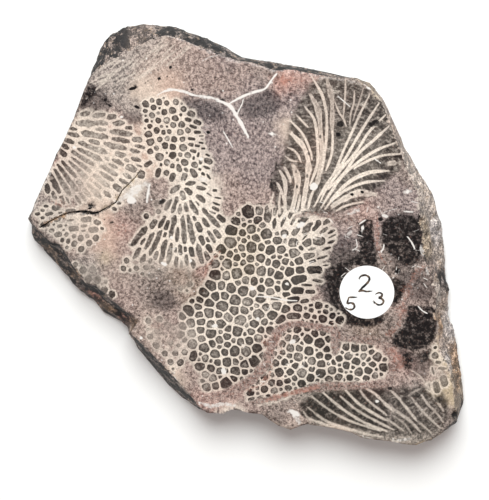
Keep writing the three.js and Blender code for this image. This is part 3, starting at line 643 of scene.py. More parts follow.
LOWER_FAN = [
    (0.35, 0.8, (17.4, -38.3), (22.0, -41.7), (26.8, -44.1), (34.0, -46.3)),
    (0.4, 0.9, (20.1, -37.2), (24.1, -40.6), (29.6, -44.1), (35.2, -46.2)),
    (0.35, 0.8, (24.1, -37.8), (28.2, -41.2), (34.4, -44.6), (37.0, -45.8)),
    (0.4, 0.9, (25.4, -36.3), (28.9, -39.8), (34.4, -43.1), (35.6, -43.6)),
    (0.35, 0.8, (28.9, -36.2), (30.2, -38.0), (32.3, -39.9), (34.4, -41.4), (35.4, -42.3)),
    (0.45, 0.9, (30.6, -35.8), (32.3, -36.8), (34.4, -38.8), (36.9, -41.2)),
    (0.4, 0.8, (35.9, -35.7), (37.8, -37.4), (39.8, -39.8), (41.5, -42.0), (43.4, -44.0)),
    (0.35, 0.7, (16.2, -40.9), (21.0, -44.3), (28.9, -46.8), (34.4, -47.8)),
    (0.35, 0.7, (15.2, -42.0), (16.5, -43.7), (19.3, -44.7), (22.5, -46.0)),
    (0.4, 0.7, (36.8, -40.4), (38.9, -42.0), (41.4, -43.8), (43.6, -46.2)),
    (0.35, 0.7, (39.8, -39.8), (42.2, -42.7), (45.0, -45.3), (46.0, -46.2)),
    (0.35, 0.7, (41.2, -37.5), (43.6, -40.5), (46.3, -43.2), (48.0, -44.8)),
    (0.35, 0.7, (43.6, -36.8), (45.3, -39.2), (47.3, -41.2), (49.0, -43.5)),
    (0.35, 0.7, (46.0, -34.0), (46.3, -36.7), (47.7, -38.8), (49.0, -40.8)),
    (0.2, 0.6, (40.9, -30.6), (42.9, -31.9), (44.6, -33.9), (45.5, -35.3)),
    (0.3, 0.7, (35.4, -43.0), (36.9, -44.2), (39.4, -46.0)),
    (0.3, 0.6, (36.8, -42.2), (39.4, -44.0), (41.4, -46.6)),
    (0.3, 0.6, (44.8, -40.2), (43.6, -41.6)),
    (0.3, 0.6, (46.9, -40.8), (45.4, -42.4)), (0.3, 0.6, (40.4, -37.2), (41.9, -36.0), (43.4, -35.2)),
]
RIB_LIP = 0.2                           # soft edge of the upper fan's ribs
RIB_STEP = 0.5                          # a rib's curve has a point at every such length


def smooth_line(points, step):
    """A smooth curve through the points, as evenly spaced points."""
    knots = np.array(points, float)
    padded = np.vstack([2 * knots[0] - knots[1], knots, 2 * knots[-1] - knots[-2]])
    fine = []
    for p0, p1, p2, p3 in zip(padded, padded[1:], padded[2:], padded[3:]):
        for t in np.linspace(0, 1, 12, endpoint=False):
            fine.append(0.5 * (2 * p1 + (p2 - p0) * t + (2 * p0 - 5 * p1 + 4 * p2 - p3) * t ** 2
                               + (3 * p1 - p0 - 3 * p2 + p3) * t ** 3))
    fine = np.array(fine + [knots[-1]])
    run = np.concatenate([[0], np.cumsum(np.linalg.norm(np.diff(fine, axis=0), axis=1))])
    marks = np.linspace(0, run[-1], max(3, int(run[-1] / step) + 1))
    return np.stack([np.interp(marks, run, fine[:, k]) for k in (0, 1)], 1)


def sideways(line):
    """Unit directions across a line, to its left."""
    ahead = np.gradient(line, axis=0)
    ahead /= np.linalg.norm(ahead, axis=1)[:, None]
    return np.stack([-ahead[:, 1], ahead[:, 0]], 1)


def taper(count, blunt=0.35):
    """Width shares along a line that thins towards both ends."""
    share = np.linspace(0, 1, count)
    return blunt + (1 - blunt) * np.clip(np.minimum(share, 1 - share) * 6, 0, 1)


def lay_line(points, width, waver=0.06, step=RIB_STEP, lip=LIP, limits=None):
    """Puts both edges of a line on the drawing, and returns its curve and half widths."""
    curve = smooth_line(points, step)
    across = sideways(curve)
    halves = width / 2 * taper(len(curve))
    if limits is not None:
        halves = np.minimum(halves, limits)
    halves = np.maximum(halves * (1 + 2 * waver * rng.standard_normal(len(curve))), 0.05)
    for side in (-1, 1):
        put(curve + side * halves[:, None] * across, 0.0, 0.0, 0.5, line=True)
        put(curve + side * (halves + lip)[:, None] * across, 0.0, 0.0, 0.5, line=True)
    if width > 0.5:
        put(curve, 0.0, 0.0, 0.5)
    return curve, halves


def lay_side_by_side(lines, widen, share, wall, waver, step, lip):
    """Lays lines that leave each other room: none is wider than a share of the way to the next."""
    curves = [smooth_line(line[2:], step) for line in lines]
    laid = []
    for number, line in enumerate(lines):
        others = [curve for i, curve in enumerate(curves) if i != number]
        room = segment_distance(curves[number], np.vstack([c[:-1] for c in others]),
                                np.vstack([c[1:] for c in others])).min(1)
        limits = np.maximum(room * share - wall / 2, 0.3 * line[0])
        limits = np.convolve(np.pad(limits, 1, mode="edge"), (0.25, 0.5, 0.25), "valid")
        laid.append(lay_line(line[2:], line[0] * widen, waver, step, lip, limits))
    return laid


# Dark tubes of the fan, laid under its ribs: width, tone, points
FAN_TUBES = [
    (1.2, 0.06, (12.2, 27.9), (13.4, 27.1), (14.4, 25.8)),
    (1.5, 0.03, (13.0, 29.5), (15.0, 27.6), (16.3, 25.6), (16.2, 24.2)),
    (1.0, 0.1, (12.3, 23.2), (13.9, 22.1)), (1.2, 0.06, (11.8, 21.3), (12.9, 20.3)),
    (1.0, 0.06, (11.1, 18.9), (11.8, 16.6)), (1.0, 0.05, (9.0, 16.4), (9.7, 15.5), (10.3, 14.0)),
    (0.9, 0.12, (7.2, 15.3), (8.1, 14.0)), (0.8, 0.02, (17.4, 21.2), (17.4, 19.0)),
    (0.9, 0.05, (16.2, 16.0), (15.8, 13.9), (15.6, 12.4)),
    (1.1, 0.03, (19.0, 14.8), (18.2, 12.7), (17.7, 11.2)), (1.0, 0.06, (22.9, 26.4), (22.8, 25.6)),
    (1.2, 0.04, (31.7, 29.6), (30.6, 28.2), (29.8, 27.2)), (0.9, 0.1, (27.4, 17.6), (26.0, 16.4)),
    (0.9, 0.1, (32.8, 20.0), (31.0, 18.8)), (0.8, 0.12, (32.2, 17.1), (29.6, 16.7), (27.5, 15.6)),
    (1.1, 0.02, (30.6, 14.3), (27.2, 14.0)), (0.8, 0.14, (26.4, 13.1), (23.8, 11.6)),
    (1.0, 0.1, (28.4, 10.0), (25.6, 9.5), (24.2, 8.4)), (1.1, 0.02, (36.1, 21.3), (37.8, 21.2)),
    (0.9, 0.1, (33.0, 22.9), (34.4, 23.0)), (1.0, 0.2, (17.0, 37.7), (17.4, 35.2)),
    (1.0, 0.16, (17.0, 32.3), (17.3, 31.0)), (0.7, 0.2, (19.3, 33.8), (19.3, 32.6)),
    (0.9, 0.22, (23.8, 37.8), (23.8, 36.8)), (0.9, 0.2, (26.4, 25.5), (25.2, 23.8)),
    (0.9, 0.24, (23.3, 22.9), (22.3, 21.3), (21.4, 19.3)), (0.8, 0.3, (20.5, 25.3), (20.4, 21.6)),
    (0.6, 0.04, (8.3, 19.2), (8.3, 17.8)), (1.0, 0.3, (8.8, 11.0), (8.9, 8.4)),
    (1.0, 0.25, (11.3, 12.4), (11.2, 9.4)), (1.1, 0.3, (14.4, 10.0), (13.6, 8.0)),
    (0.9, 0.25, (14.9, 17.6), (14.6, 14.4)), (0.8, 0.25, (24.8, 14.0), (22.6, 12.4)),
]
SOFT = 0.34                             # soft edge of the lower fan's ribs, dark tubes, bands and seams
rib_curves = [(*line, rib[1]) for rib, line in
              zip(FAN, lay_side_by_side(FAN, 1.0, 0.42, 0.1, 0.05, RIB_STEP, RIB_LIP))]
soft_ribs = [(*lay_line(rib[2:], rib[0], 0.12, 0.6, SOFT), 0.95 * rib[1]) for rib in LOWER_FAN]
tube_curves = [(*lay_line(line[2:], line[0] * 0.9, 0.12, 0.6, SOFT), 1.0) for line in FAN_TUBES]
print(len(rib_curves) + len(soft_ribs), "ribs and", len(tube_curves), "dark tubes laid")


# %% [markdown]
# ## Veins, seams, bands and the open crack
# After the mud had turned to stone, cracks in it healed with white calcite: the
# bright veins. Iron left pinkish seams, and bands of rusty mud hug the branches. One
# crack is still open: the block has its groove, and here its shade is painted on
# the flat face as a black line. All are laid the same way as the ribs, as lines with
# a width and a strength.

# %% Veins, seams, crack and bands: width, strength, points
VEINS = [
    (0.9, 0.75, (-19.5, 35.0), (-17.5, 36.0), (-15.5, 36.1), (-13.0, 35.6), (-11.5, 35.0), (-9.0, 34.6),
     (-6.8, 34.3), (-5.0, 33.6), (-3.3, 32.9)),
    (1.0, 1.0, (-5.2, 33.7), (-3.3, 32.9), (-2.2, 32.0), (-1.0, 30.0), (0.0, 28.4), (0.7, 27.0),
     (1.6, 25.4)),
    (0.6, 1.0, (-3.2, 32.8), (-2.4, 33.3), (0.0, 34.6), (2.0, 35.5), (4.0, 36.1), (5.5, 36.6),
     (6.5, 37.8), (7.3, 39.0), (8.2, 40.1)),
    (0.3, 0.8, (0.5, 34.2), (0.2, 33.0), (-0.6, 31.4), (-1.0, 30.3)),
    (0.35, 0.5, (-9.0, 43.0), (-7.0, 44.0), (-4.0, 44.4)),
    (0.3, 0.8, (-4.1, 26.3), (-3.0, 24.4), (-2.1, 22.8)),
    (0.45, 0.9, (-21.9, 13.4), (-22.3, 11.4), (-22.7, 9.2)),
    (0.35, 1.0, (39.5, 2.0), (40.4, 0.8), (41.1, -0.6)),
    (0.4, 1.0, (33.9, 0.0), (33.8, -0.9), (33.3, -1.6)),
    (0.25, 1.0, (3.7, -13.4), (7.0, -13.5), (10.5, -14.1), (13.4, -14.2)),
    (0.4, 0.8, (38.4, 8.2), (40.4, 8.1)),
    (0.25, 0.5, (33.6, 7.8), (36.8, 8.9)),
    (0.25, 0.7, (40.4, 10.6), (42.0, 10.2)),
    (0.3, 0.9, (28.1, 5.0), (29.4, 5.9)),
    (0.25, 0.7, (27.3, 1.2), (27.6, -0.6), (26.6, -1.4)),
    (0.3, 0.9, (42.4, -14.9), (43.4, -15.9), (44.4, -16.4)),
    (0.25, 0.7, (22.9, 34.9), (25.4, 32.8)), (0.25, 0.7, (31.2, 20.7), (32.8, 19.6)),
    # chips along the rim
    (1.6, 0.6, (-10.4, -40.6), (-7.6, -41.4), (-4.6, -40.8), (-1.6, -41.0)),
    (1.6, 0.55, (12.2, -42.2), (13.4, -43.6), (14.4, -45.0)),
    (1.4, 0.6, (18.0, -45.8), (22.0, -46.4), (26.0, -47.4), (30.0, -48.4), (34.0, -49.0)),
    (1.2, 0.5, (37.0, -48.8), (41.0, -48.0)),
    (1.2, 0.5, (28.6, 38.0), (31.2, 36.8), (32.8, 34.8), (34.0, 32.0), (35.4, 28.8), (36.6, 25.6)),
    (0.9, 0.5, (-50.2, 6.6), (-48.9, 10.2), (-46.6, 14.4), (-45.2, 17.6)),
]
SEAMS = [
    (0.5, 0.8, (32.1, 7.4), (32.4, 4.5), (32.2, 2.0), (32.6, -0.8), (33.3, -3.0), (34.3, -4.4)),
    (1.0, 0.55, (44.2, -4.4), (42.6, -5.6), (41.4, -7.2), (40.6, -9.0)),
    (1.9, 0.65, (40.9, -7.6), (40.0, -10.0), (39.2, -12.6), (38.4, -15.0), (38.2, -17.5), (37.4, -20.0),
     (35.4, -22.0)),
    (1.0, 1.0, (6.2, -39.4), (8.6, -38.5), (11.2, -37.7), (14.0, -36.9)),
    (0.7, 1.2, (10.6, -38.2), (13.6, -37.0), (16.4, -36.2), (18.4, -35.7)),
    (0.8, 0.5, (18.6, -35.5), (23.0, -35.1), (27.0, -34.9), (32.0, -34.4)),
    (0.7, 0.7, (-5.0, -2.4), (-6.4, -4.0), (-7.6, -5.6), (-8.8, -8.6)),
    (0.6, 0.4, (-31.6, 5.0), (-35.6, 4.6)), (0.9, 0.6, (-45.8, 9.0), (-43.4, 8.3), (-40.6, 7.6)),
]
# The crack's black line is painted shade: the shade inside the open crack, on a flat face.
CRACK = [
    (0.25, 1.0, (-48.8, 2.5), (-47.4, 3.1), (-46.5, 3.9), (-44.5, 5.0), (-42.4, 5.9), (-39.8, 6.2),
     (-38.4, 6.4)),
    (0.5, 1.0, (-38.6, 6.3), (-37.2, 6.5), (-36.0, 6.2), (-35.2, 6.0), (-34.4, 6.4)),
    (0.4, 1.0, (-48.8, 2.5), (-47.4, 3.1)),
    (0.16, 0.8, (-34.4, 6.4), (-33.0, 6.9), (-31.6, 7.7), (-30.3, 8.9), (-29.4, 10.2), (-28.6, 11.4)),
]
MUD_BANDS = [
    (2.0, 1.0, (14.6, -19.7), (10.8, -20.6), (8.6, -22.6), (7.4, -25.4), (6.6, -28.4), (6.0, -30.4),
     (4.2, -32.4), (2.4, -34.4), (0.2, -36.0), (-2.6, -37.8), (-8.0, -39.2)),
    (1.6, 0.9, (14.0, -19.9), (18.0, -20.5), (22.0, -21.4), (24.6, -23.2), (30.0, -23.4), (35.0, -24.4)),
    (2.0, 0.8, (22.4, -21.0), (22.8, -24.2), (22.6, -27.0)),
    (2.4, 0.9, (34.8, -25.6), (36.8, -28.4), (36.6, -32.4)),
    (1.7, 1.0, (13.6, -37.2), (18.0, -35.8), (24.0, -35.2), (30.0, -34.9), (36.0, -34.4)),
    (1.1, 0.8, (13.0, 6.4), (16.0, 7.1), (19.0, 7.3), (22.4, 6.4), (27.0, 5.6)),
    (1.2, 0.7, (9.8, -38.6), (5.0, -39.6), (1.0, -40.8)),
]
vein_curves = [(*lay_line(v[2:], v[0] * 0.6, 0.14), v[1]) for v in VEINS]
CRACK_LIP = 0.08                        # soft edge of the crack
crack_shade_curves = [(*lay_line(c[2:], c[0], 0.2, 0.4, CRACK_LIP), c[1]) for c in CRACK]
band_curves = [(*lay_line(b[2:], b[0], 0.12, 0.7, SOFT), b[1]) for b in MUD_BANDS]
seam_curves = [(*lay_line(s[2:], s[0], 0.3, 0.8, SOFT), 0.75 * s[1]) for s in SEAMS]
print(len(vein_curves), "white lines and", len(seam_curves), "pink seams laid")

# %% [markdown]
# ## Fine rays, cross walls and scratches
# The top left corner is a branch cut so close to its length that only fine pale
# rays show. The open tubes of the fans are divided by many thin floors, and handling
# left fine scratches. All are short thin lines at random places. The rays and the
# floors keep to a direction that fits the place, and the scratches lie any way.

# %% Rays, floors and scratches
def stray_lines(outline, heading, count, length, width, strength, spread=9.0, lip=LIP):
    """Short straight lines at random places in an outline, all near one heading."""
    corners = np.array(outline)
    laid = []
    while len(laid) < count:
        spot = rng.uniform(corners.min(0), corners.max(0))
        if depth_inside(spot[None], outline)[0] < 0.4:
            continue
        angle = math.radians(heading(spot) + rng.normal(0, spread))
        half = rng.uniform(0.6, 1.3) * length / 2 * np.array([math.cos(angle), math.sin(angle)])
        laid.append((*lay_line((spot - half, spot, spot + half), width, 0.1, 0.7, lip),
                     strength * rng.uniform(0.5, 1.1)))
    return laid


TOP_LEFT = [(-35.0, 40.0), (-31.0, 45.0), (-22.0, 48.6), (-13.0, 48.0), (-11.0, 45.0), (-16.0, 42.0),
            (-24.0, 38.0), (-28.0, 36.4), (-34.4, 36.4)]
FAN_FLOORS = [(13.0, 30.0), (18.0, 36.0), (28.0, 36.0), (34.0, 28.0), (36.0, 20.0), (30.0, 13.0),
              (22.0, 9.0), (14.0, 9.0), (11.0, 14.0), (13.0, 22.0)]
LOW_FLOORS = [(17.0, -37.4), (30.0, -36.8), (36.0, -41.0), (44.0, -40.0), (48.0, -38.0), (47.0, -44.0),
              (38.0, -46.6), (25.0, -44.2), (17.0, -41.0)]
ray_curves = stray_lines(TOP_LEFT, lambda p: 38 + 0.9 * (p[0] + 25), 90, 4.0, 0.3, 0.75)
floor_curves = stray_lines(
    FAN_FLOORS, lambda p: math.degrees(math.atan2(p[1] - 4, p[0] - 14)) + 90, 90, 0.8, 0.12, 0.4, 16)
floor_curves += stray_lines(LOW_FLOORS, lambda p: 45, 60, 0.8, 0.12, 0.35, 16)
SCRATCHED = [                           # outline, count, strength
    ([(20.0, 4.0), (30.0, 9.0), (42.0, 12.0), (44.0, -4.0), (45.0, -14.0), (37.0, -8.0),
      (24.0, -12.0)], 26, 0.8),
    ([(9.0, 9.0), (20.0, 12.0), (30.0, 9.0), (22.0, 2.0), (18.0, -8.0), (10.0, -2.0)], 26, 0.8),
    ([(-24.0, 14.0), (-14.0, 34.0), (-6.0, 30.0), (-6.0, 2.0), (-16.0, -6.0)], 20, 0.6),
    ([(0.0, -8.0), (12.0, -20.0), (34.0, -26.0), (34.0, -34.0), (0.0, -36.0)], 24, 0.7),
]
HAIRLINE = 0.06                         # soft edge of a scratch
scratches = [line for outline, count, strength in SCRATCHED
             for line in stray_lines(outline, lambda p: rng.uniform(0, 180), count, 1.0, 0.1,
                                     strength, 0.0, HAIRLINE)]
print(len(ray_curves), "rays,", len(floor_curves), "cross floors,", len(scratches), "scratches")

# %% [markdown]
# ## Dark patches
# Where the mud between the branches held tar-like matter it is nearly black, most
# of all round the paper dot. These are outlines with soft ragged edges: the depth
# inside each one is kept, and the finish roughens its edge later. The open tubes of
# the two fans are areas laid in the same way.

# %% Black patches, dusky patches and the open tubes of the fans
BLACK = [
    [(21.0, -5.8), (23.4, -4.6), (26.0, -5.0), (24.8, -8.6), (23.4, -12.0), (24.0, -16.0), (22.0, -15.2),
     (21.0, -12.6), (20.4, -9.0)],
    [(28.2, 5.0), (30.0, 6.5), (31.2, 6.0), (31.4, 4.0), (31.7, 1.0), (32.0, -1.4), (32.8, -5.4),
     (30.0, -5.8), (27.0, -5.0), (24.4, -6.2), (22.8, -7.4), (22.6, -5.4), (25.0, -4.2), (27.6, -2.6),
     (28.4, -0.4), (27.6, 1.2), (27.8, 3.6)],
    [(33.2, 5.4), (35.2, 7.0), (38.0, 6.6), (40.4, 7.4), (42.4, 5.6), (43.0, 1.6), (42.6, -2.2),
     (41.6, -4.4),
     (39.5, -5.2), (37.1, -3.9), (35.7, -2.4), (34.2, -1.4), (33.4, 1.4)],
    [(35.8, -8.0), (38.6, -8.4), (39.5, -10.0), (38.4, -12.6), (36.8, -15.2), (35.2, -14.4), (36.0, -11.6)],
    [(23.2, -13.2), (25.4, -16.2), (28.6, -17.6), (32.4, -17.4), (35.0, -17.0), (34.2, -19.0),
     (31.4, -20.2),
     (28.4, -20.4), (25.2, -19.7), (22.8, -18.0), (22.2, -15.0)],
    [(39.8, -14.3), (42.6, -14.5), (46.0, -14.8), (46.8, -16.5), (46.8, -19.7), (46.5, -22.6),
     (44.3, -25.1), (41.2, -25.9), (38.5, -25.3), (36.1, -24.7), (36.7, -21.8), (39.1, -20.0),
     (39.5, -17.1)],
    [(38.8, -26.2), (40.5, -26.3), (41.5, -28.0), (41.2, -30.5), (39.5, -30.4), (38.6, -28.5)],
    [(43.6, -26.4), (45.2, -25.4), (46.0, -26.6), (44.6, -28.4), (43.0, -28.8)],
    [(-36.4, 36.4), (-34.6, 37.2), (-34.0, 35.4), (-35.6, 33.6), (-38.0, 31.4), (-38.4, 32.4)],
    [(2.4, 8.6), (4.2, 9.6), (5.2, 9.4), (4.0, 8.4)], [(6.8, 15.4), (8.8, 14.6), (8.0, 12.2), (6.6, 12.8)],
    [(-2.4, 6.0), (-0.6, 6.2), (0.4, 4.6), (-0.8, 4.0)],
    [(13.6, -42.0), (16.4, -41.2), (17.6, -42.6), (15.8, -43.8)],
]
DUSKY = [
    [(22.8, 2.4), (26.6, 2.0), (27.4, -0.6), (28.4, -3.4), (24.4, -4.6), (20.8, -4.8), (21.8, -1.2)],
    [(36.0, -5.6), (40.0, -6.6), (45.6, -4.6), (46.4, -10.6), (44.6, -13.4), (40.6, -13.4), (38.2, -9.4)],
    [(35.4, 7.4), (40.0, 8.2), (42.8, 6.6), (43.4, 2.0), (43.0, -2.6), (40.4, -5.6), (36.6, -5.4),
     (33.0, 1.8)],
    [(19.8, -5.0), (22.6, -4.2), (27.0, -4.6), (25.6, -6.6), (23.8, -9.0), (23.2, -13.0), (24.6, -17.2),
     (22.4, -16.6), (20.0, -13.4), (18.4, -10.0), (18.8, -7.0)],
    [(0.2, 30.4), (0.4, 33.6), (2.0, 34.8), (4.5, 35.4), (6.5, 36.6), (8.6, 36.2), (9.6, 33.4), (8.0, 31.4),
     (5.0, 30.0), (2.0, 29.6)],
    [(-14.6, 34.6), (-10.0, 34.0), (-5.4, 32.4), (-3.4, 30.6), (-4.4, 28.4), (-9.4, 29.2), (-11.6, 31.0)],
    [(-28.6, 30.6), (-24.0, 31.0), (-22.0, 29.6), (-25.0, 28.0), (-28.0, 28.6)],
    [(37.6, -24.6), (42.0, -26.6), (46.6, -24.6), (47.0, -28.6), (44.4, -32.6), (40.0, -31.2),
     (37.8, -28.8)],
    [(-38.4, 36.6), (-34.0, 37.6), (-30.6, 33.4), (-31.6, 30.8), (-38.2, 30.8)],
    [(-45.0, -3.4), (-41.0, -4.6), (-35.0, -9.6), (-29.0, -16.6), (-31.0, -18.6), (-38.0, -12.0),
     (-45.6, -5.4)],
    [(-21.0, -12.4), (-17.0, -13.0), (-15.4, -16.0), (-18.6, -18.0), (-22.0, -16.0)],
]
OPEN_TUBES = [                          # outline, how much tube shows, tone, what they spread from
    ([(7.4, 16.6), (9.6, 20.4), (10.6, 25.4), (11.4, 29.4), (13.4, 33.6), (16.6, 38.6), (21.0, 40.0),
      (27.6, 38.6), (32.6, 35.0), (35.4, 29.4), (38.2, 24.0), (38.2, 19.4), (35.4, 16.4), (32.6, 13.4),
      (29.4, 10.6), (26.0, 8.6), (21.0, 7.2), (14.0, 7.0), (8.0, 7.0)], 0.95, 0.44, (16.0, 3.0)),
    ([(13.6, -40.4), (17.6, -37.0), (24.0, -36.2), (31.0, -35.4), (35.4, -35.2), (36.4, -41.0),
      (36.0, -47.6), (25.0, -45.6), (16.0, -43.6)], 0.95, 0.08, (6.0, -26.0)),
    ([(35.4, -35.2), (38.0, -35.2), (44.0, -34.0), (48.4, -34.6), (50.6, -39.6), (50.2, -43.0),
      (46.0, -47.0), (36.0, -47.6), (36.4, -41.0)], 0.85, 0.26, (28.0, -24.0)),
]


def patch_points(outline, inset=(0.35, -0.35), step=0.7):
    """Extra points just inside and outside an outline, so that its edge is drawn finely."""
    ring = np.array(list(outline) + [outline[0]], float)
    for shift in inset:
        curve = smooth_line(ring, step)
        put(curve + shift * sideways(curve), 0.0, 0.0, 0.5)


for outline in BLACK + DUSKY:
    patch_points(outline)
print(len(BLACK), "black and", len(DUSKY), "dusky patches")

# %% [markdown]
# ## What each point of the face is
# Each point of the mosaic gets a few values: how much it is coral wall, open tube,
# white vein, pink seam, how deep it lies in a black patch, and how dark its tube
# is. They are worked out from the distances, and the finish turns them to colour.

# %% Small marks: x, y, half sizes, angle in degrees, strength
WHITE_SPOTS = [
    (-25.9, 11.6, 2.4, 1.0, 38, 0.62), (-26.5, 9.5, 0.85, 0.8, 20, 1.0), (-23.0, 13.1, 1.7, 0.8, 35, 0.55),
    (-22.3, 11.0, 0.4, 2.0, -8, 0.5), (-29.0, 9.7, 1.5, 0.6, 30, 0.5), (30.0, 37.2, 0.8, 0.4, -20, 0.8),
    (32.2, 35.5, 0.7, 0.35, -55, 0.8), (7.2, 26.1, 0.35, 0.35, 0, 1.0), (17.2, 13.7, 0.9, 0.75, 40, 1.0),
    (-9.5, 19.8, 0.35, 0.3, 0, 1.0), (-4.3, -32.4, 0.55, 0.55, 0, 1.0), (4.0, -19.0, 0.35, 0.35, 0, 1.0),
    (2.6, -11.4, 0.5, 0.4, 0, 1.0), (11.0, -10.1, 0.3, 0.25, 0, 1.0), (10.3, 1.6, 0.45, 0.4, 0, 0.9),
    (14.2, 4.4, 0.9, 0.5, 30, 0.9), (34.0, 7.0, 0.7, 0.35, -15, 0.7), (26.6, 7.9, 1.5, 0.5, 22, 0.6),
    (39.2, 12.9, 0.5, 0.3, 40, 0.9), (12.4, -24.4, 0.7, 0.4, 30, 0.8), (14.6, -30.6, 0.6, 0.25, 0, 0.6),
    (12.9, -42.4, 1.3, 0.5, -30, 0.9), (-16.6, -34.4, 0.8, 0.3, -40, 0.9), (-24.5, -24.6, 0.3, 0.3, 0, 1.0),
    (-18.7, -5.9, 0.6, 0.3, -20, 1.0), (-16.8, 0.6, 0.3, 0.3, 0, 0.9), (-12.2, -5.0, 0.3, 0.3, 0, 1.0),
    (-6.5, -21.0, 0.6, 0.35, 10, 0.9), (26.7, -1.6, 0.5, 0.5, 0, 0.3), (42.9, -1.2, 0.4, 1.2, 15, 0.6),
    (44.2, -5.8, 0.3, 0.9, 10, 0.6), (33.0, -38.8, 0.35, 0.3, 0, 0.9), (28.8, 4.0, 0.3, 0.5, 0, 0.8),
    (-39.9, 22.0, 0.3, 0.2, 0, 1.0), (-28.4, 29.5, 0.3, 0.2, 0, 0.8), (27.8, 16.2, 0.4, 0.25, 20, 0.5),
    (-9.0, 14.9, 1.0, 0.5, -10, 0.6), (25.8, 2.7, 0.9, 0.45, 60, 0.5),
]
DARK_SPOTS = [
    (-36.3, 7.5, 0.45, 0.25, 40, 1.0), (23.2, 28.7, 0.8, 0.75, 0, 0.7), (22.8, 26.2, 0.5, 0.4, 0, 0.8),
    (31.0, 28.9, 1.3, 0.65, 20, 0.7), (-7.8, 26.2, 0.35, 0.3, 0, 1.0), (-3.0, 40.8, 0.8, 0.45, 0, 0.5),
    (-16.6, 41.4, 0.3, 0.22, 30, 0.9), (-19.3, 38.7, 0.3, 0.25, 0, 0.9), (-11.6, 36.2, 0.25, 0.2, 0, 0.8),
    (-25.6, 36.3, 0.8, 0.3, 15, 0.9), (-32.2, 33.5, 0.35, 0.25, 40, 1.0), (-31.2, 32.2, 0.4, 0.2, -40, 0.8),
    (-24.7, 31.9, 0.6, 0.3, -20, 0.8), (28.6, 12.6, 0.3, 0.25, 0, 1.0), (26.2, 12.0, 0.3, 0.25, 0, 1.0),
    (33.0, 6.2, 0.45, 0.4, 0, 1.0), (37.3, -6.2, 0.6, 0.5, 20, 0.9), (41.9, 5.6, 0.3, 0.5, 0, 1.0),
    (42.2, 7.2, 0.25, 0.6, 10, 1.0), (-29.0, -9.4, 0.5, 0.3, 0, 0.4), (-4.4, 33.9, 0.4, 0.3, 0, 0.7),
    (11.5, 35.5, 0.5, 0.4, 0, 0.5), (-19.0, 9.3, 0.9, 0.5, 30, 0.7), (-31.2, 4.0, 0.4, 0.2, 10, 0.7),
    (-26.6, -1.4, 0.5, 0.3, 0, 0.5), (-24.0, 3.8, 0.4, 0.3, 0, 0.4), (15.9, 21.6, 0.2, 0.35, 0, 0.6),
    (15.6, 16.2, 0.2, 0.4, 0, 0.6), (18.6, 25.6, 0.2, 0.35, 0, 0.6), (13.2, 13.6, 0.18, 0.35, 0, 0.7),
    (13.0, 17.2, 0.2, 0.3, 0, 0.6), (7.4, -35.6, 0.4, 0.4, 0, 0.5), (36.0, -35.4, 0.5, 0.4, 0, 0.7),
    (42.7, -36.8, 0.6, 0.5, 0, 0.6), (47.7, -37.8, 1.0, 0.8, 0, 0.6), (43.2, -43.1, 0.6, 0.9, 30, 0.5),
    (39.6, -38.4, 0.7, 1.2, 20, 0.5),
]
RUSTY_SPOTS = [
    (9.8, 38.6, 0.55, 0.95, 0, 1.1), (13.0, 38.9, 2.0, 0.9, -5, 0.5), (6.0, -24.9, 1.1, 0.9, 0, 0.5),
    (38.0, -28.4, 1.2, 2.0, 20, 0.6), (36.4, -26.0, 1.2, 0.9, 30, 0.6), (8.6, -23.4, 0.7, 1.6, 0, 0.5),
    (6.0, -34.0, 0.6, 2.2, -35, 0.6), (22.4, -21.0, 0.8, 2.0, 0, 0.35), (-29.0, 2.0, 2.4, 1.6, 20, 0.3),
    (9.4, -26.0, 0.5, 1.2, 0, 0.4), (7.0, -29.6, 0.5, 1.6, 20, 0.5), (2.6, -36.6, 1.6, 0.5, 25, 0.5),
    (-20.6, -21.4, 1.6, 1.0, 0, 0.25), (35.4, -21.6, 1.0, 0.6, 30, 0.5),
]


def lay_spots(spots):
    """Two rings of points for each spot, one at its edge and one just outside it."""
    turn = np.arange(10) * math.pi / 5
    circle = np.stack([np.cos(turn), np.sin(turn)], 1)
    for x, y, across, along, angle, _ in spots:
        lean = math.radians(angle)
        spin = np.array([[math.cos(lean), math.sin(lean)], [-math.sin(lean), math.cos(lean)]])
        wobble = 1 + 0.2 * rng.standard_normal((10, 1))
        for wider in (0.0, LIP):
            shape = circle * wobble * np.array([across + wider, along + wider])
            put(shape @ spin + (x, y), 0.0, 0.0, 0.5, loop=True)


def spot_value(points, spots):
    """How much each point belongs to any of the spots."""
    value = np.zeros(len(points))
    for x, y, across, along, angle, strength in spots:
        lean = math.radians(angle)
        dx, dy = points[:, 0] - x, points[:, 1] - y
        u = (dx * math.cos(lean) + dy * math.sin(lean)) / across
        v = (-dx * math.sin(lean) + dy * math.cos(lean)) / along
        gap = (np.sqrt(u * u + v * v) - 1) * min(across, along)
        value = np.maximum(value, strength * (1 - smooth(0.0, 0.2, gap)))
    return value


def line_value(points, curves, hollow=0.0, lip=LIP):
    """How much each point belongs to any of the lines; a wide line may be paler inside."""
    value = np.zeros(len(points))
    for curve, halves, strength in curves:
        margin = halves.max() + lip
        box_low, box_high = curve.min(0) - margin, curve.max(0) + margin
        close = np.flatnonzero(((points > box_low) & (points < box_high)).all(1))
        if len(close) == 0:
            continue
        gaps = segment_distance(points[close], curve[:-1], curve[1:])
        nearest = gaps.argmin(1)
        edge = (halves[nearest] + halves[nearest + 1]) / 2
        share = np.clip((edge + lip - gaps.min(1)) / lip, 0, 1)
        core = smooth(0.1, 0.5, edge - gaps.min(1)) if hollow else 0.0
        value[close] = np.maximum(value[close], share * (1 - hollow * core) * strength)
    return value


print(len(WHITE_SPOTS) + len(DARK_SPOTS) + len(RUSTY_SPOTS), "small marks")

for marks in (WHITE_SPOTS, DARK_SPOTS, RUSTY_SPOTS):
    lay_spots(marks)

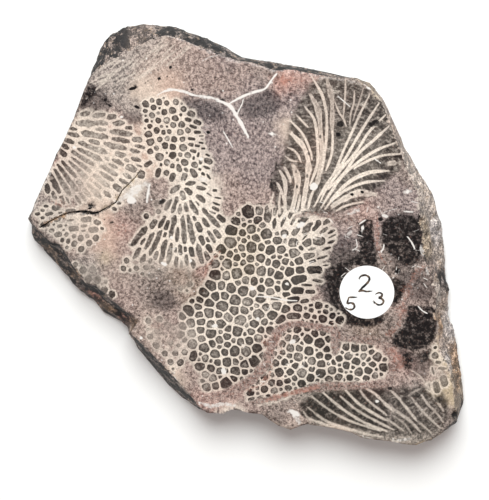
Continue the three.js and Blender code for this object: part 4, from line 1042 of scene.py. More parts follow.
# %% [markdown]
# ## The face as one mosaic
# All these outlines and lines become the edges of one flat mesh, made by a Delaunay
# triangulation with fixed edges. It is the quick way to a flat face that keeps
# thousands of drawn lines sharp: no picture is used, and every line stays a real
# edge with its own value. Loose points on a jittered grid fill the plain stone.

# %% Triangulate
GRID = 0.95                             # spacing of the loose points in the plain stone
KEEP_OFF_RIM = 0.16                     # drawn points stay this far from the rim
EDGES_OFF_RIM = 0.6                     # drawn edges stay this far from it
MERGE = 0.003                           # points nearer than this are made one
low, high = rim.min(0), rim.max(0)
grid = np.stack(np.meshgrid(np.arange(low[0], high[0], GRID), np.arange(low[1], high[1], GRID)), -1)
grid = grid.reshape(-1, 2) + rng.uniform(-0.3, 0.3, (grid.size // 2, 2)) * GRID
drawn = np.array(sheet["at"], float)
tree = KDTree(len(drawn))
for i, (x, y) in enumerate(drawn):
    tree.insert((x, y, 0), i)
tree.balance()
clear = [tree.find((x, y, 0))[2] > GRID * 0.45 for x, y in grid]
put(grid[clear], 0.0, 0.0, 0.5)
drawn = np.array(sheet["at"], float)
rim_gap = nearest_segment(drawn, RIM_STARTS, RIM_ENDS)
good = is_inside(drawn, RIM_STARTS, RIM_ENDS) & (rim_gap > KEEP_OFF_RIM)
edges = np.array(sheet["edges"])
edges = edges[good[edges].all(1) & (rim_gap[edges].min(1) > EDGES_OFF_RIM)]
number_of = np.cumsum(good) - 1 + len(rim)
all_points = np.vstack([rim, drawn[good]])
all_edges = np.vstack([rim_edges, number_of[edges]])
flat, _, tiles, sources, _, _ = delaunay_2d_cdt(
    [Vector(p) for p in all_points], all_edges.tolist(), [], 0, MERGE)
flat = np.array([tuple(p) for p in flat])
tiles = np.array(tiles)
tiles = tiles[is_inside(flat[tiles].mean(1), RIM_STARTS, RIM_ENDS)]
corner = flat[tiles]
area = np.cross(corner[:, 1] - corner[:, 0], corner[:, 2] - corner[:, 0]) / 2
tiles[area < 0] = tiles[area < 0][:, ::-1]
print(len(flat), "points,", len(tiles), "triangles on the face,",
      round(float(np.abs(area).sum()), 0), "square mm")


# %% [markdown]
# ## The colour of the plain stone
# The mud isn't one colour: it drifts from cream at the upper left through pinkish
# grey to nearly black at the right. A painter would lay that in with broad soft
# dabs. Each dab has a place, a reach in millimetres and a colour of the tray, and
# every point takes the mean of the dabs, the near ones counting most.

# %% Dabs on the face: x, y, reach, colour
DABS = [
    (-50, 3, 3, "umber"), (-48, 9, 4, "ash"), (-43, 12, 5, "clay"), (-44, 4, 5, "ash"),
    (-38, 4, 4, "cream"), (-40, 0, 4, "fawn"), (-33, 0, 5, "peach"), (-28, 2, 4, "rose"),
    (-25, 7, 4, "umber"), (-21, 6, 4, "clay"), (-26, 12, 3, "bone"), (-33, 12, 5, "cream"),
    (-32, 20, 6, "cream"), (-37, 24, 5, "cream"), (-41, 20, 4, "rose"), (-26, 22, 5, "peach"),
    (-24, 26, 4, "peach"), (-29, 26, 4, "rose"), (-25, 30, 4, "ash"), (-36, 33, 4, "umber"),
    (-33, 38, 5, "ash"), (-29, 42, 5, "ash"), (-31, 46, 3, "umber"), (-23, 47, 4, "ash"),
    (-21, 42, 4, "fawn"), (-16, 43, 5, "fawn"), (-22, 36, 4, "cream"), (-17, 38, 4, "peach"),
    (-12, 45, 4, "clay"), (-8, 42, 5, "clay"), (-10, 38, 4, "clay"), (-3, 44, 4, "mauve"),
    (0, 40, 5, "clay"), (6, 41, 4, "umber"), (3, 37, 4, "mauve"), (4, 33, 4, "slate"), (10, 38, 3, "coral"),
    (14, 39, 3, "rose"), (12, 34, 4, "mauve"), (-9, 31, 4, "slate"), (-8, 27, 4, "mauve"),
    (-4, 22, 5, "mauve"), (3, 26, 5, "mauve"), (7, 22, 5, "mauve"), (4, 16, 5, "mauve"),
    (-2, 13, 4, "clay"), (-3, 8, 3, "clay"), (5, 11, 4, "clay"), (-14, 27, 4, "cream"),
    (-12, 18, 4, "bone"), (-17, 20, 4, "cream"), (-8, 12, 4, "bone"), (-13, 2, 5, "bone"),
    (-15, 8, 4, "bone"), (-9, 4, 4, "bone"), (-19, 12, 3, "clay"), (-21, 10, 3, "umber"),
    (-20, 1, 4, "cream"), (-26, -2, 4, "clay"), (-30, -8, 4, "fawn"), (-36, -6, 4, "ash"),
    (-33, -5, 2, "straw"), (-29, -14, 4, "clay"), (-24, -10, 4, "umber"), (-19, -15, 4, "umber"),
    (-14, -10, 3, "brown"), (-8, -6, 3, "brick"), (-12, -13, 3, "brown"), (-16, -20, 4, "clay"),
    (-22, -20, 3, "fawn"), (-20, -26, 4, "fawn"), (-15, -28, 4, "clay"), (-12, -33, 4, "clay"),
    (-16, -34, 3, "cream"), (-9, -40, 3, "rose"), (-3, -39, 3, "rose"), (3, -41, 3, "clay"),
    (8, -41, 4, "umber"), (-2, -43, 3, "bone"), (0, -5, 5, "straw"), (0, -14, 6, "bone"),
    (9, -6, 5, "bone"), (14, 4, 4, "bone"), (-4, -24, 5, "bone"), (-10, -22, 4, "bone"),
    (3, -30, 4, "fawn"), (6, -36, 3, "rose"), (8, -25, 3, "rose"), (13, -21, 3, "rose"),
    (18, -19, 3, "rose"), (15, -28, 4, "bone"), (27, -29, 5, "bone"), (22, -24, 3, "clay"),
    (24, -22, 4, "umber"), (30, -22, 4, "brown"), (36, -22, 4, "umber"), (34, -27, 3, "rose"),
    (38, -29, 3, "rose"), (36, -33, 4, "clay"), (41, -20, 3, "soot"), (43, -25, 3, "umber"),
    (46, -31, 3, "fawn"), (49, -27, 3, "straw"), (49, -36, 3, "straw"), (24, -4, 4, "smoke"),
    (24, 2, 4, "mauve"), (22, 6, 3, "clay"), (21, -9, 3, "soot"), (22, -15, 3, "soot"), (26, 5, 3, "clay"),
    (29, 8, 3, "rose"), (34, 9, 3, "mauve"), (36, 13, 4, "mauve"), (39, 17, 4, "umber"),
    (36, 21, 3, "umber"), (33, 10, 3, "clay"), (38, 5, 3, "soot"), (41, 10, 3, "mauve"), (42, 0, 3, "soot"),
    (38, -3, 3, "umber"), (36, -7, 3, "umber"), (44, -7, 3, "fawn"), (42, -12, 3, "clay"),
    (45, -13, 3, "umber"), (42, -8, 4, "smoke"), (40, -15, 3, "clay"), (16, 20, 5, "peach"),
    (22, 16, 5, "bone"), (28, 22, 5, "bone"), (30, 32, 4, "ash"), (26, 34, 4, "fawn"), (20, 34, 4, "fawn"),
    (12, 26, 4, "cream"), (20, -40, 5, "sage"), (28, -42, 5, "sage"), (35, -40, 4, "ash"),
    (42, -40, 5, "ash"), (24, -46, 3, "cream"), (40, -46, 4, "sage"), (14, -43, 3, "fawn"),
    (32, -36, 3, "rose"), (24, -35, 3, "brown"), (48, -42, 3, "umber"), (46, -44, 3, "sage"),
    (11, 5, 3, "bone"), (-44, -3, 3, "umber"), (-35, -12, 2.5, "umber"), (17, -14, 3, "clay"),
]


FALL_OFF = 1.6                          # how fast a dab gives way beyond its reach


def tint_of(points, dabs, drift=0.9):
    """Linear colours at points, blended from dabs; the last column of a dab is its colour."""
    places = np.array([dab[:-2] for dab in dabs], float)
    reaches = np.array([dab[-2] for dab in dabs], float)
    colours = np.array([seen(dab[-1]) for dab in dabs])
    shades = np.empty((len(points), 4))
    for i in range(0, len(points), CHUNK):
        part = points[i:i + CHUNK]
        part = part + drift * rng.standard_normal((len(part), places.shape[1])) * 0.4
        gap = ((part[:, None] - places[None]) ** 2).sum(-1) / reaches ** 2
        weight = np.exp(-FALL_OFF * gap) + 1e-4 / (1 + gap)
        shades[i:i + CHUNK] = weight @ colours / weight.sum(1)[:, None]
    return shades


print(len(DABS), "dabs on the face")

# %% Values at every point of the face
FAINT = [                               # x, y, reach, how much of the drawing shows
    (-34, 18, 6, 0.7), (-28, 20, 5, 0.85), (-38, 2, 5, 0.6), (-45, 4, 5, 0.8), (-42, 12, 6, 0.8),
    (-36, 12, 5, 0.5), (-24, -7, 4, 0.7), (-19, -10, 5, 0.35), (-18, -23, 6, 0.35), (-36, -9, 5, 0.45),
    (-12, -24, 2, 0.8), (-34, 29, 5, 0.7), (44, -38, 5, 0.75), (8, -24, 2.5, 0.6), (-14, -9, 3, 0.3),
    (6, -30, 2, 0.6), (-22, 12, 3, 0.5), (-20, 9, 3, 0.5), (24, 8, 3, 0.8), (-6, -36, 2, 0.85),
    (-9, -34, 3, 0.7), (48, -31, 4, 0.6),
]
SHADY = [                               # x, y, reach, how much lighter or darker the tubes are
    (12, 24, 3, -0.2), (9, 13, 3, -0.15), (33, 16, 4, -0.25), (30, 13, 3, -0.2), (20, 36, 5, 0.15),
    (13, -11, 4, -0.2), (12, -13, 3, -0.1), (-3, -34, 4, -0.15), (28, -41, 5, -0.1), (18, -39, 3, -0.05),
    (22, -19, 4, -0.15), (27, -29, 6, -0.12), (16, -26, 5, -0.08), (44, -42, 4, 0.15), (-46.5, 13, 4, -0.6),
    (-42, 24, 3, -0.6), (-44, 18.5, 3, -0.5), (-22, 0, 5, -0.15), (-10, 0, 3, -0.15), (-7, 12, 3, -0.1),
    (-10, 26, 3, -0.1),
]
BAND_DARKENS = 0.75                     # how far a band of mud takes the tint with it
BAND_RUST = 0.36                        # and how pink it is
source = np.array([s[0] if s else -1 for s in sources])
drawn_ids = np.flatnonzero(good)
values = {label: np.array(sheet[label], float) for label in ("coral", "lumen", "tone")}
from_drawing = source >= len(rim)
face_values = {label: np.where(from_drawing, values[label][drawn_ids[np.maximum(source - len(rim), 0)]],
                               0.5 if label == "tone" else 0.0) for label in values}
edge_tree = KDTree(len(cell_edge_points))
for i, (x, y) in enumerate(cell_edge_points):
    edge_tree.insert((x, y, 0), i)
edge_tree.balance()
loose = np.flatnonzero(face_values["coral"] < 0.5)
edge_gap = np.array([edge_tree.find((x, y, 0))[2] for x, y in flat[loose]])
into = np.zeros(len(loose))
owner = np.zeros(len(loose), int)
for i in range(0, len(loose), CHUNK // 2):
    part = slice(i, i + CHUNK // 2)
    reach = segment_distance(flat[loose[part]], axis_a, axis_b) - half_width
    into[part], owner[part] = reach.min(1), reach.argmin(1)
within = (into < -0.08) & (edge_gap > 0.08)
face_values["coral"][loose] = np.where(within, 1.0, 1 - smooth(0.15, 0.75, edge_gap))
face_values["lumen"][loose] = within * 1.0
face_values["tone"][loose] = np.where(within, cell_tone[owner], face_values["tone"][loose])
coral, lumen, tone = (face_values[label] for label in ("coral", "lumen", "tone"))
for x, y, reach, show in FAINT:
    veil = 1 - (1 - show) * np.exp(-((flat - (x, y)) ** 2).sum(1) / reach ** 2)
    coral, lumen = coral * veil, lumen * veil
muddy = line_value(flat, band_curves, 0.0, SOFT)
coral, lumen = coral * (1 - muddy), lumen * (1 - muddy)
flow = np.zeros((len(flat), 3))
for outline, depth, level, middle in OPEN_TUBES:
    inside = depth_inside(flat, outline)
    fill = smooth(-0.5, 0.7, inside) * depth
    away = flat - middle
    ahead = np.mean(outline, axis=0) - middle
    lean = np.arctan2(ahead[0] * away[:, 1] - ahead[1] * away[:, 0], away @ ahead)
    round_it = np.stack([lean * 15.0, np.linalg.norm(away, axis=1), 0 * lean], 1)
    flow = np.where(inside[:, None] > -1.0, round_it, flow)
    tone = np.where((coral > 0.5) | (fill < 0.02), tone, level + 0.1 * rng.standard_normal(len(flat)))
    lumen = np.maximum(lumen, fill * (1 - coral))
for x, y, reach, change in SHADY:
    tone = tone + change * np.exp(-((flat - (x, y)) ** 2).sum(1) / reach ** 2)
for line, curve in zip(FAN_TUBES, tube_curves):
    share = line_value(flat, [curve], 0.0, SOFT)
    tone = np.where(share > lumen, 1.7 * line[1] + 0.08 + 0.1 * (1 - share), tone)
    lumen = np.maximum(lumen, share)
    coral = coral * (1 - share)
rib = np.maximum(line_value(flat, rib_curves, 0.3, RIB_LIP), line_value(flat, soft_ribs, 0.0, SOFT))
rib = np.maximum(rib, 0.8 * line_value(flat, ray_curves))
rib = np.maximum(rib, line_value(flat, floor_curves))
dark_mark = spot_value(flat, DARK_SPOTS)
coral = np.maximum(coral, rib)
lumen = lumen * (1 - rib)
black = np.max([depth_inside(flat, outline) for outline in BLACK], axis=0)
dusky = np.max([depth_inside(flat, outline) for outline in DUSKY], axis=0)
face_fields = {
    "coral": coral, "lumen": lumen, "tone": tone,
    "black": np.clip(black, -1.5, 1.5), "dusky": np.clip(dusky, -2.0, 2.0),
    "vein": np.max([line_value(flat, vein_curves), spot_value(flat, WHITE_SPOTS),
                    line_value(flat, scratches, 0.0, HAIRLINE)], axis=0),
    "seam": np.max([line_value(flat, seam_curves, 0.0, SOFT), spot_value(flat, RUSTY_SPOTS),
                    BAND_RUST * muddy], axis=0),
    # Dark spots, and the painted shade of the open crack.
    "dark_spots_and_crack_shade": np.maximum(dark_mark, line_value(flat, crack_shade_curves, 0.0, CRACK_LIP)),
}
print({label: round(float(v.mean()), 3) for label, v in face_fields.items()})

# %% [markdown]
# ## Joining the face to the block
# The mosaic becomes a mesh at the height of the polished face. The sides get
# colours from dabs in space: broken brown-black stone with rusty patches at the
# lower left, tan stone on the right. Some dabs are painted light and shade: soot and
# umber on the upper wall and low under the chipped lower rim are painted shade, and
# bone and chalk on the right wall are partly painted light. Then the two are joined
# and their shared rim is merged, so that the slab is one closed skin.

# %% Dabs on the sides: x, y, z, reach, colour
# Painted shade: the soot and umber dabs along the upper wall, and those low under the chipped lower rim,
# darken these walls as shade. Partly painted light: the bone and chalk dabs lighten the right wall beyond
# its own tan.
SIDE_DABS = [
    (-45, 4.5, 11.8, 2, "ochre"), (-37, 6.3, 11.8, 3, "pitch"), (-30, 9, 11.8, 3, "straw"),
    (-26, 14, 11.8, 3, "straw"), (-49, 3, 6, 4, "umber"), (-50, 6, 8, 3, "ash"), (-47, -2, 9, 2.5, "pitch"),
    (-46, -4, 6, 2.5, "ochre"), (-44.5, -5, 8, 2, "pitch"), (-43, -7, 6, 2, "soot"),
    (-41, -9, 8, 2, "ochre"), (-39, -11, 8, 2, "pitch"), (-44, -6, 11, 2, "pitch"),
    (-36, -15, 11, 2, "pitch"), (-30, -21, 11, 2, "pitch"), (-47, -5, 1, 2, "umber"),
    (-42, -11, 1, 2, "umber"), (-38, -14, 1, 2, "umber"), (-37, -13, 8, 2, "pitch"),
    (-36, -15, 5, 2, "rust"), (-34, -16, 8, 2, "pitch"), (-33, -18, 5, 2, "ochre"),
    (-31, -19, 8, 2.5, "pitch"), (-29, -21, 5, 2, "rust"), (-28, -22, 3, 2, "pitch"),
    (-26, -22, 7, 2, "ochre"), (-27, -24, 6, 2, "cream"), (-25, -27, 4, 3, "ash"), (-22, -29, 9, 3, "soot"),
    (-22, -31, 4, 3, "soot"), (-18, -34, 9, 2.5, "pitch"), (-19, -36, 2, 3, "slate"),
    (-15, -38, 8, 2.5, "soot"), (-13, -41, 2, 3, "slate"), (-15, -37, 11, 1.5, "bone"),
    (-10, -43, 6, 3, "soot"), (-2, -46, 6, 4, "soot"), (4, -46, 6, 4, "soot"), (8, -46, 11, 2, "cream"),
    (12, -47, 10, 3, "bone"), (18, -47, 10, 3, "bone"), (24, -48, 10, 3, "bone"), (30, -49, 9, 3, "cream"),
    (20, -49, 3, 4, "umber"), (30, -51, 3, 4, "umber"), (38, -50, 9, 3, "bone"), (44, -49, 8, 3, "straw"),
    (45, -48, 4, 4, "sage"), (51, -43, 10, 2, "pitch"), (50, -45, 5, 3, "umber"), (53, -40, 8, 3, "straw"),
    (52, -36, 8, 2, "ochre"), (50, -33, 9, 3, "straw"), (51, -28, 9, 3, "chalk"), (50, -24, 9, 3, "cream"),
    (51, -30, 4, 3, "ochre"), (49, -19, 9, 3, "ochre"), (50, -21, 5, 3, "chalk"), (48, -15, 8, 3, "cream"),
    (47, -10, 5, 2.5, "slate"), (47, -12, 9, 3, "bone"), (46, -6, 8, 3, "fawn"), (47, -4, 5, 3, "bone"),
    (45, 0, 9, 2.5, "straw"), (46, 2, 5, 3, "chalk"), (44, 5, 9, 2, "straw"), (44, 8, 7, 3, "bone"),
    (42, 12, 8, 3, "bone"), (41, 16, 5, 4, "bone"), (38, 21, 6, 4, "bone"), (36, 26, 6, 4, "cream"),
    (33, 33, 6, 4, "bone"), (30, 37, 6, 4, "straw"), (22, 40, 6, 5, "umber"), (14, 42, 8, 3, "umber"),
    (10, 42, 10, 3, "soot"), (4, 44, 8, 4, "umber"), (-3, 47, 8, 3, "soot"), (-10, 48, 8, 4, "soot"),
    (-18, 50, 8, 3, "umber"), (-24, 50, 6, 4, "fawn"), (-30, 49, 8, 3, "umber"), (-33, 45, 6, 4, "umber"),
    (-36, 38, 6, 4, "soot"), (-38, 32, 8, 3, "pitch"), (-40, 27, 6, 4, "umber"), (-43, 21, 6, 4, "soot"),
    (-46, 14, 6, 4, "umber"), (-49, 9, 6, 4, "umber"), (-30, -22, 1, 3, "umber"),
]
side_points = np.array([v.co[:] for v in stone.data.vertices], float) / MM
side_fields = {label: np.zeros(len(side_points)) for label in face_fields}
side_fields["black"] -= 1.5
side_fields["dusky"] -= 2.0
side_flow = np.zeros((len(side_points), 3))
side_colour_light_and_shade = tint_of(side_points, SIDE_DABS)
face_tint = tint_of(flat, DABS)
face_tint += BAND_DARKENS * muddy[:, None] * (np.array(seen("clay", 0.52)) - face_tint)


def store(mesh, fields, tint, along):
    """Stores the values on a mesh, one for each point."""
    for label, numbers in fields.items():
        layer = mesh.attributes.new(label, "FLOAT", "POINT")
        layer.data.foreach_set("value", np.ascontiguousarray(numbers, np.float32))
    layer = mesh.attributes.new("tint", "FLOAT_COLOR", "POINT")
    layer.data.foreach_set("color", np.ascontiguousarray(tint, np.float32).ravel())
    layer = mesh.attributes.new("flow", "FLOAT_VECTOR", "POINT")
    layer.data.foreach_set("vector", np.ascontiguousarray(along * MM, np.float32).ravel())


face_mesh = bpy.data.meshes.new("polished_face")
heights = np.full((len(flat), 1), FACE_Z)
face_mesh.from_pydata((np.hstack([flat, heights]) * MM).tolist(), [], tiles.tolist())
face_part = new_object("polished_face", face_mesh)
store(face_mesh, face_fields, face_tint, flow)
store(stone.data, side_fields, side_colour_light_and_shade, side_flow)
print("side points:", len(side_points))

# %% Join, merge the rim and check that the skin is closed
for label in ("polished", "broken", "sawn"):
    stone.data.materials.append(bpy.data.materials.new(label))
    face_mesh.materials.append(bpy.data.materials[label])
while len(stone.data.materials) > 3:
    stone.data.materials.pop(index=0)
for face in stone.data.polygons:
    zs = [stone.data.vertices[i].co.z for i in face.vertices]
    face.material_index = 2 if max(zs) < 1e-6 else 1
pick(face_part, stone)
bpy.ops.object.join()
bpy.ops.object.mode_set(mode="EDIT")
bpy.ops.mesh.select_mode(type="VERT")
bpy.ops.mesh.select_all(action="DESELECT")
bpy.ops.mesh.select_non_manifold()
bpy.ops.mesh.remove_doubles(threshold=2e-6)
bpy.ops.mesh.select_all(action="SELECT")
bpy.ops.mesh.fill_holes(sides=4)        # closes the slivers where the rim is quite straight
bpy.ops.mesh.select_all(action="SELECT")
bpy.ops.mesh.quads_convert_to_tris()
bpy.ops.mesh.normals_make_consistent(inside=False)
bpy.ops.object.mode_set(mode="OBJECT")
broken = sum(1 for count in edge_uses(stone).values() if count != 2)
print("slab_stone:", len(stone.data.polygons), "triangles,", broken, "open or crowded edges")
bpy.ops.object.shade_smooth_by_angle(angle=math.radians(40))
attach(stone, "root")
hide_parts("slab")

# %% [markdown]
# ## Helpers for the finishes
# A finish is a small network of nodes. What several finishes share is built once as
# a group with named inputs and outputs. These helpers keep the cells below short.

# %% Node helpers
def add(tree, kind, **settings):
    """A new node with its settings; a setting whose name is a socket sets the socket."""
    node = tree.nodes.new(kind)
    for name, value in settings.items():
        if hasattr(node, name):
            setattr(node, name, value)
        else:
            node.inputs[name.replace("_", " ")].default_value = value
    return node


def mix(tree, factor, a, b, blend="MIX"):
    """Mixes two colours; each of the three may be a socket or a plain value."""
    node = tree.nodes.new("ShaderNodeMix")
    node.data_type, node.blend_type = "RGBA", blend
    for index, value in ((0, factor), (6, a), (7, b)):
        if isinstance(value, bpy.types.NodeSocket):
            tree.links.new(value, node.inputs[index])
        else:
            node.inputs[index].default_value = value
    return node.outputs[2]


def sum_up(tree, operation, a, b):
    """One step of arithmetic on sockets or numbers."""
    node = tree.nodes.new("ShaderNodeMath")
    node.operation = operation
    for index, value in enumerate((a, b)):
        if isinstance(value, bpy.types.NodeSocket):
            tree.links.new(value, node.inputs[index])
        else:
            node.inputs[index].default_value = value
    return node.outputs[0]


def soft_step(tree, value, low, high, out_low=0.0, out_high=1.0):
    """A smooth step of a socket between two levels."""
    node = add(tree, "ShaderNodeMapRange", interpolation_type="SMOOTHSTEP")
    for name, number in (("From Min", low), ("From Max", high), ("To Min", out_low), ("To Max", out_high)):
        node.inputs[name].default_value = number
    tree.links.new(value, node.inputs["Value"])
    return node.outputs[0]


def noise(tree, place, millimetres, detail=3.0, roughness=0.6):
    """Noise with features of about that many millimetres, from 0 to 1."""
    node = add(tree, "ShaderNodeTexNoise", Scale=1.0 / (millimetres * MM), Detail=detail,
               Roughness=roughness)
    tree.links.new(place, node.inputs["Vector"])
    return node.outputs["Fac"]


def position(tree):
    """The place on the object."""
    return add(tree, "ShaderNodeTexCoord").outputs["Object"]


def product(tree, a, b):
    """One socket times another, or times a number."""
    return sum_up(tree, "MULTIPLY", a, b)


def ruffle(tree, surface, height, strength, distance):
    """Lets a height disturb the way a surface catches the light."""
    bump = add(tree, "ShaderNodeBump", Strength=strength, Distance=distance)
    tree.links.new(height, bump.inputs["Height"])
    tree.links.new(bump.outputs[0], surface.inputs["Normal"])


def field(tree, label, colour=False):
    """A value stored on the mesh."""
    node = add(tree, "ShaderNodeAttribute", attribute_name=label)
    return node.outputs["Color" if colour else "Fac"]


def group(name, inputs, outputs):
    """A new node group with named sockets: its tree, its inputs and its outputs."""
    tree = bpy.data.node_groups.new(name, "ShaderNodeTree")
    kinds = {"colour": "NodeSocketColor", "value": "NodeSocketFloat", "vector": "NodeSocketVector"}
    for label, kind, *start in inputs:
        socket = tree.interface.new_socket(name=label, in_out="INPUT", socket_type=kinds[kind])
        if start:
            socket.default_value = start[0]
    for label, kind in outputs:
        tree.interface.new_socket(name=label, in_out="OUTPUT", socket_type=kinds[kind])
    return tree, tree.nodes.new("NodeGroupInput").outputs, tree.nodes.new("NodeGroupOutput").inputs


def use(tree, name, **wires):
    """Puts a group in a tree and connects or sets its named inputs."""
    node = tree.nodes.new("ShaderNodeGroup")
    node.node_tree = bpy.data.node_groups[name]
    for label, value in wires.items():
        socket = node.inputs[label.replace("_", " ")]
        if isinstance(value, bpy.types.NodeSocket):
            tree.links.new(value, socket)
        else:
            socket.default_value = value
    return node.outputs


def ragged(tree, label, spread, low, high):
    """A value stored on the mesh, as a mask with a roughened edge."""
    return use(tree, "ragged edge", Mask=field(tree, label), Spread=spread, Low=low, High=high)["Mask"]


print("helpers ready")

# %% [markdown]
# ## Grain, ragged edges and cloudy tubes
# Three effects are shared. Grain is what makes limestone look like stone: soft
# clouds of lighter and darker mud, fine crumbs, and a few black and white specks.
# Ragged takes a soft mask and roughens its edge, so that drawn shapes look grown.
# Calcite is the cloudy filling of the open tubes.

# %% Group: stone grain
tree, take, give = group(
    "stone grain",
    [("Colour", "colour"), ("Clouds", "value", 0.5), ("Crumbs", "value", 0.5), ("Grit", "value", 0.6),
     ("Specks", "value", 1.0)],
    [("Colour", "colour"), ("Height", "value")])
askew = add(tree, "ShaderNodeMapping")
askew.inputs["Rotation"].default_value = (0.5, 0.4, 0.6)
tree.links.new(position(tree), askew.inputs["Vector"])
place = askew.outputs[0]
cloud = noise(tree, place, 2.8, 4.0, 0.65)
crumb = noise(tree, place, 0.75, 4.0, 0.8)
fine = noise(tree, place, 0.38, 2.0, 0.7)
dark = mix(tree, 1.0, take["Colour"], (0.33, 0.32, 0.35, 1), "MULTIPLY")
light = mix(tree, 0.34, take["Colour"], (0.86, 0.72, 0.65, 1))
clouds = mix(tree, soft_step(tree, cloud, 0.36, 0.62), dark, light)
base = mix(tree, take["Clouds"], take["Colour"], clouds)
crumbs = mix(tree, soft_step(tree, crumb, 0.40, 0.58), dark, light)
base = mix(tree, take["Crumbs"], base, crumbs)
grit = mix(tree, soft_step(tree, fine, 0.38, 0.62), (0.46, 0.45, 0.46, 1), (1.62, 1.60, 1.59, 1))
base = mix(tree, take["Grit"], base, mix(tree, 1.0, base, grit, "MULTIPLY"))
dots = add(tree, "ShaderNodeTexVoronoi", Scale=1.0 / (1.1 * MM), feature="F1")
tree.links.new(place, dots.inputs["Vector"])
split = tree.nodes.new("ShaderNodeSeparateColor")
tree.links.new(dots.outputs["Color"], split.inputs[0])
red, green = split.outputs[0], split.outputs[1]
near = soft_step(tree, dots.outputs["Distance"], 0.26, 0.12)
black_speck = product(tree, near, soft_step(tree, red, 0.70, 0.78))
white_speck = product(tree, near, soft_step(tree, green, 0.92, 0.95))
base = mix(tree, product(tree, black_speck, take["Specks"]), base, seen("pitch"))
base = mix(tree, product(tree, white_speck, take["Specks"]), base, seen("chalk"))
tree.links.new(base, give["Colour"])
tree.links.new(sum_up(tree, "ADD", crumb, product(tree, fine, 0.5)), give["Height"])
print("group:", tree.name, len(tree.nodes), "nodes")

# %% Group: ragged edge
tree, take, give = group(
    "ragged edge",
    [("Mask", "value", 0.0), ("Spread", "value", 0.4), ("Low", "value", 0.3), ("High", "value", 0.7)],
    [("Mask", "value")])
place = position(tree)
wobble = sum_up(tree, "SUBTRACT", noise(tree, place, 0.6, 3.0, 0.65), 0.5)
moved = sum_up(tree, "ADD", take["Mask"], product(tree, wobble, take["Spread"]))
step = add(tree, "ShaderNodeMapRange", interpolation_type="SMOOTHSTEP")
tree.links.new(moved, step.inputs["Value"])
tree.links.new(take["Low"], step.inputs["From Min"])
tree.links.new(take["High"], step.inputs["From Max"])
tree.links.new(step.outputs[0], give["Mask"])
print("group:", tree.name, len(tree.nodes), "nodes")

# %% Group: calcite in the tubes
tree, take, give = group(
    "calcite fill",
    [("Tone", "value", 0.5), ("Tint", "colour"), ("Floors", "value", 0.5)],
    [("Colour", "colour")])
place = position(tree)
level = take["Tone"]
for millimetres, depth in ((1.7, 0.5), (0.7, 0.7)):
    uneven = soft_step(tree, noise(tree, place, millimetres, 3.0, 0.7), 0.38, 0.62, -0.5, 0.5)
    level = sum_up(tree, "ADD", level, product(tree, uneven, depth))
floors = sum_up(tree, "SUBTRACT", take["Floors"], 0.5)
level = sum_up(tree, "ADD", level, product(tree, floors, 2.2))
filled = mix(tree, soft_step(tree, level, -0.10, 0.40), seen("pitch"), seen("smoke"))
filled = mix(tree, soft_step(tree, level, 0.40, 0.95), filled, seen("ash"))
filled = mix(tree, soft_step(tree, level, 1.0, 1.6), filled, seen("bone", 0.95))
filled = mix(tree, 0.08, filled, take["Tint"])
tree.links.new(filled, give["Colour"])
print("group:", tree.name, len(tree.nodes), "nodes")

# %% [markdown]
# ## The polished face
# The finish is laid on in the order in which the stone got its marks: the tinted
# mud with its grain, dusky and black patches, the pale coral walls, the cloudy
# filling of the tubes, and last the seams and white veins that cut through all of
# it. Polished limestone is glossy but not like glass: the roughness is low, and
# follows the grain a little.

# %% Material: polished face
def blank(material):
    """Empties a material and gives its tree with a new surface shader."""
    material.use_nodes = True
    tree = material.node_tree
    tree.nodes.clear()
    surface = tree.nodes.new("ShaderNodeBsdfPrincipled")
    output = tree.nodes.new("ShaderNodeOutputMaterial")
    tree.links.new(surface.outputs[0], output.inputs[0])
    return tree, surface


tree, surface = blank(bpy.data.materials["polished"])
tint = field(tree, "tint", colour=True)
paleness = add(tree, "ShaderNodeRGBToBW")
tree.links.new(tint, paleness.inputs[0])
DARK_MUD, PALE_MUD = 0.18, 0.42         # the grain is strong in dark mud and weak in pale mud
crumbly = soft_step(tree, paleness.outputs[0], DARK_MUD, PALE_MUD, 0.75, 0.25)
cloudy = soft_step(tree, paleness.outputs[0], DARK_MUD, PALE_MUD, 0.42, 0.2)
gritty = soft_step(tree, paleness.outputs[0], DARK_MUD, PALE_MUD, 0.5, 0.28)
mud = use(tree, "stone grain", Colour=tint, Clouds=cloudy, Crumbs=crumbly, Grit=gritty, Specks=0.8)
dusky_mask = ragged(tree, "dusky", 1.5, -0.5, 0.6)
black_mask = ragged(tree, "black", 1.6, -0.3, 0.4)
wall_mask = ragged(tree, "coral", 0.6, 0.15, 0.9)
tube_mask = ragged(tree, "lumen", 0.45, 0.0, 1.0)
seam_mask = ragged(tree, "seam", 2.4, 0.15, 1.05)
vein_mask = ragged(tree, "vein", 0.9, 0.25, 0.85)
spot_and_crack_shade_mask = ragged(tree, "dark_spots_and_crack_shade", 0.4, 0.2, 0.8)
place = position(tree)
shade = mix(tree, 0.8, mud["Colour"], (0.30, 0.29, 0.31, 1), "MULTIPLY")
colour = mix(tree, product(tree, dusky_mask, 0.85), mud["Colour"], shade)
smoke = soft_step(tree, noise(tree, place, 1.1, 5.0, 0.75), 0.46, 0.66, 0.0, 0.6)
tar = mix(tree, smoke, seen("pitch"), mud["Colour"])
colour = mix(tree, black_mask, colour, tar)
wall = mix(tree, 0.35, seen("bone", 1.13), tint)
wall = use(tree, "stone grain", Colour=wall, Clouds=0.14, Crumbs=0.14, Grit=0.3, Specks=0.0)["Colour"]
colour = mix(tree, wall_mask, colour, wall)
lie = add(tree, "ShaderNodeMapping")
lie.inputs["Scale"].default_value = (0.25, 1.0, 1.0)
flow_node = add(tree, "ShaderNodeAttribute", attribute_name="flow")
tree.links.new(flow_node.outputs["Vector"], lie.inputs["Vector"])
floors = noise(tree, lie.outputs[0], 0.6, 3.0, 0.7)
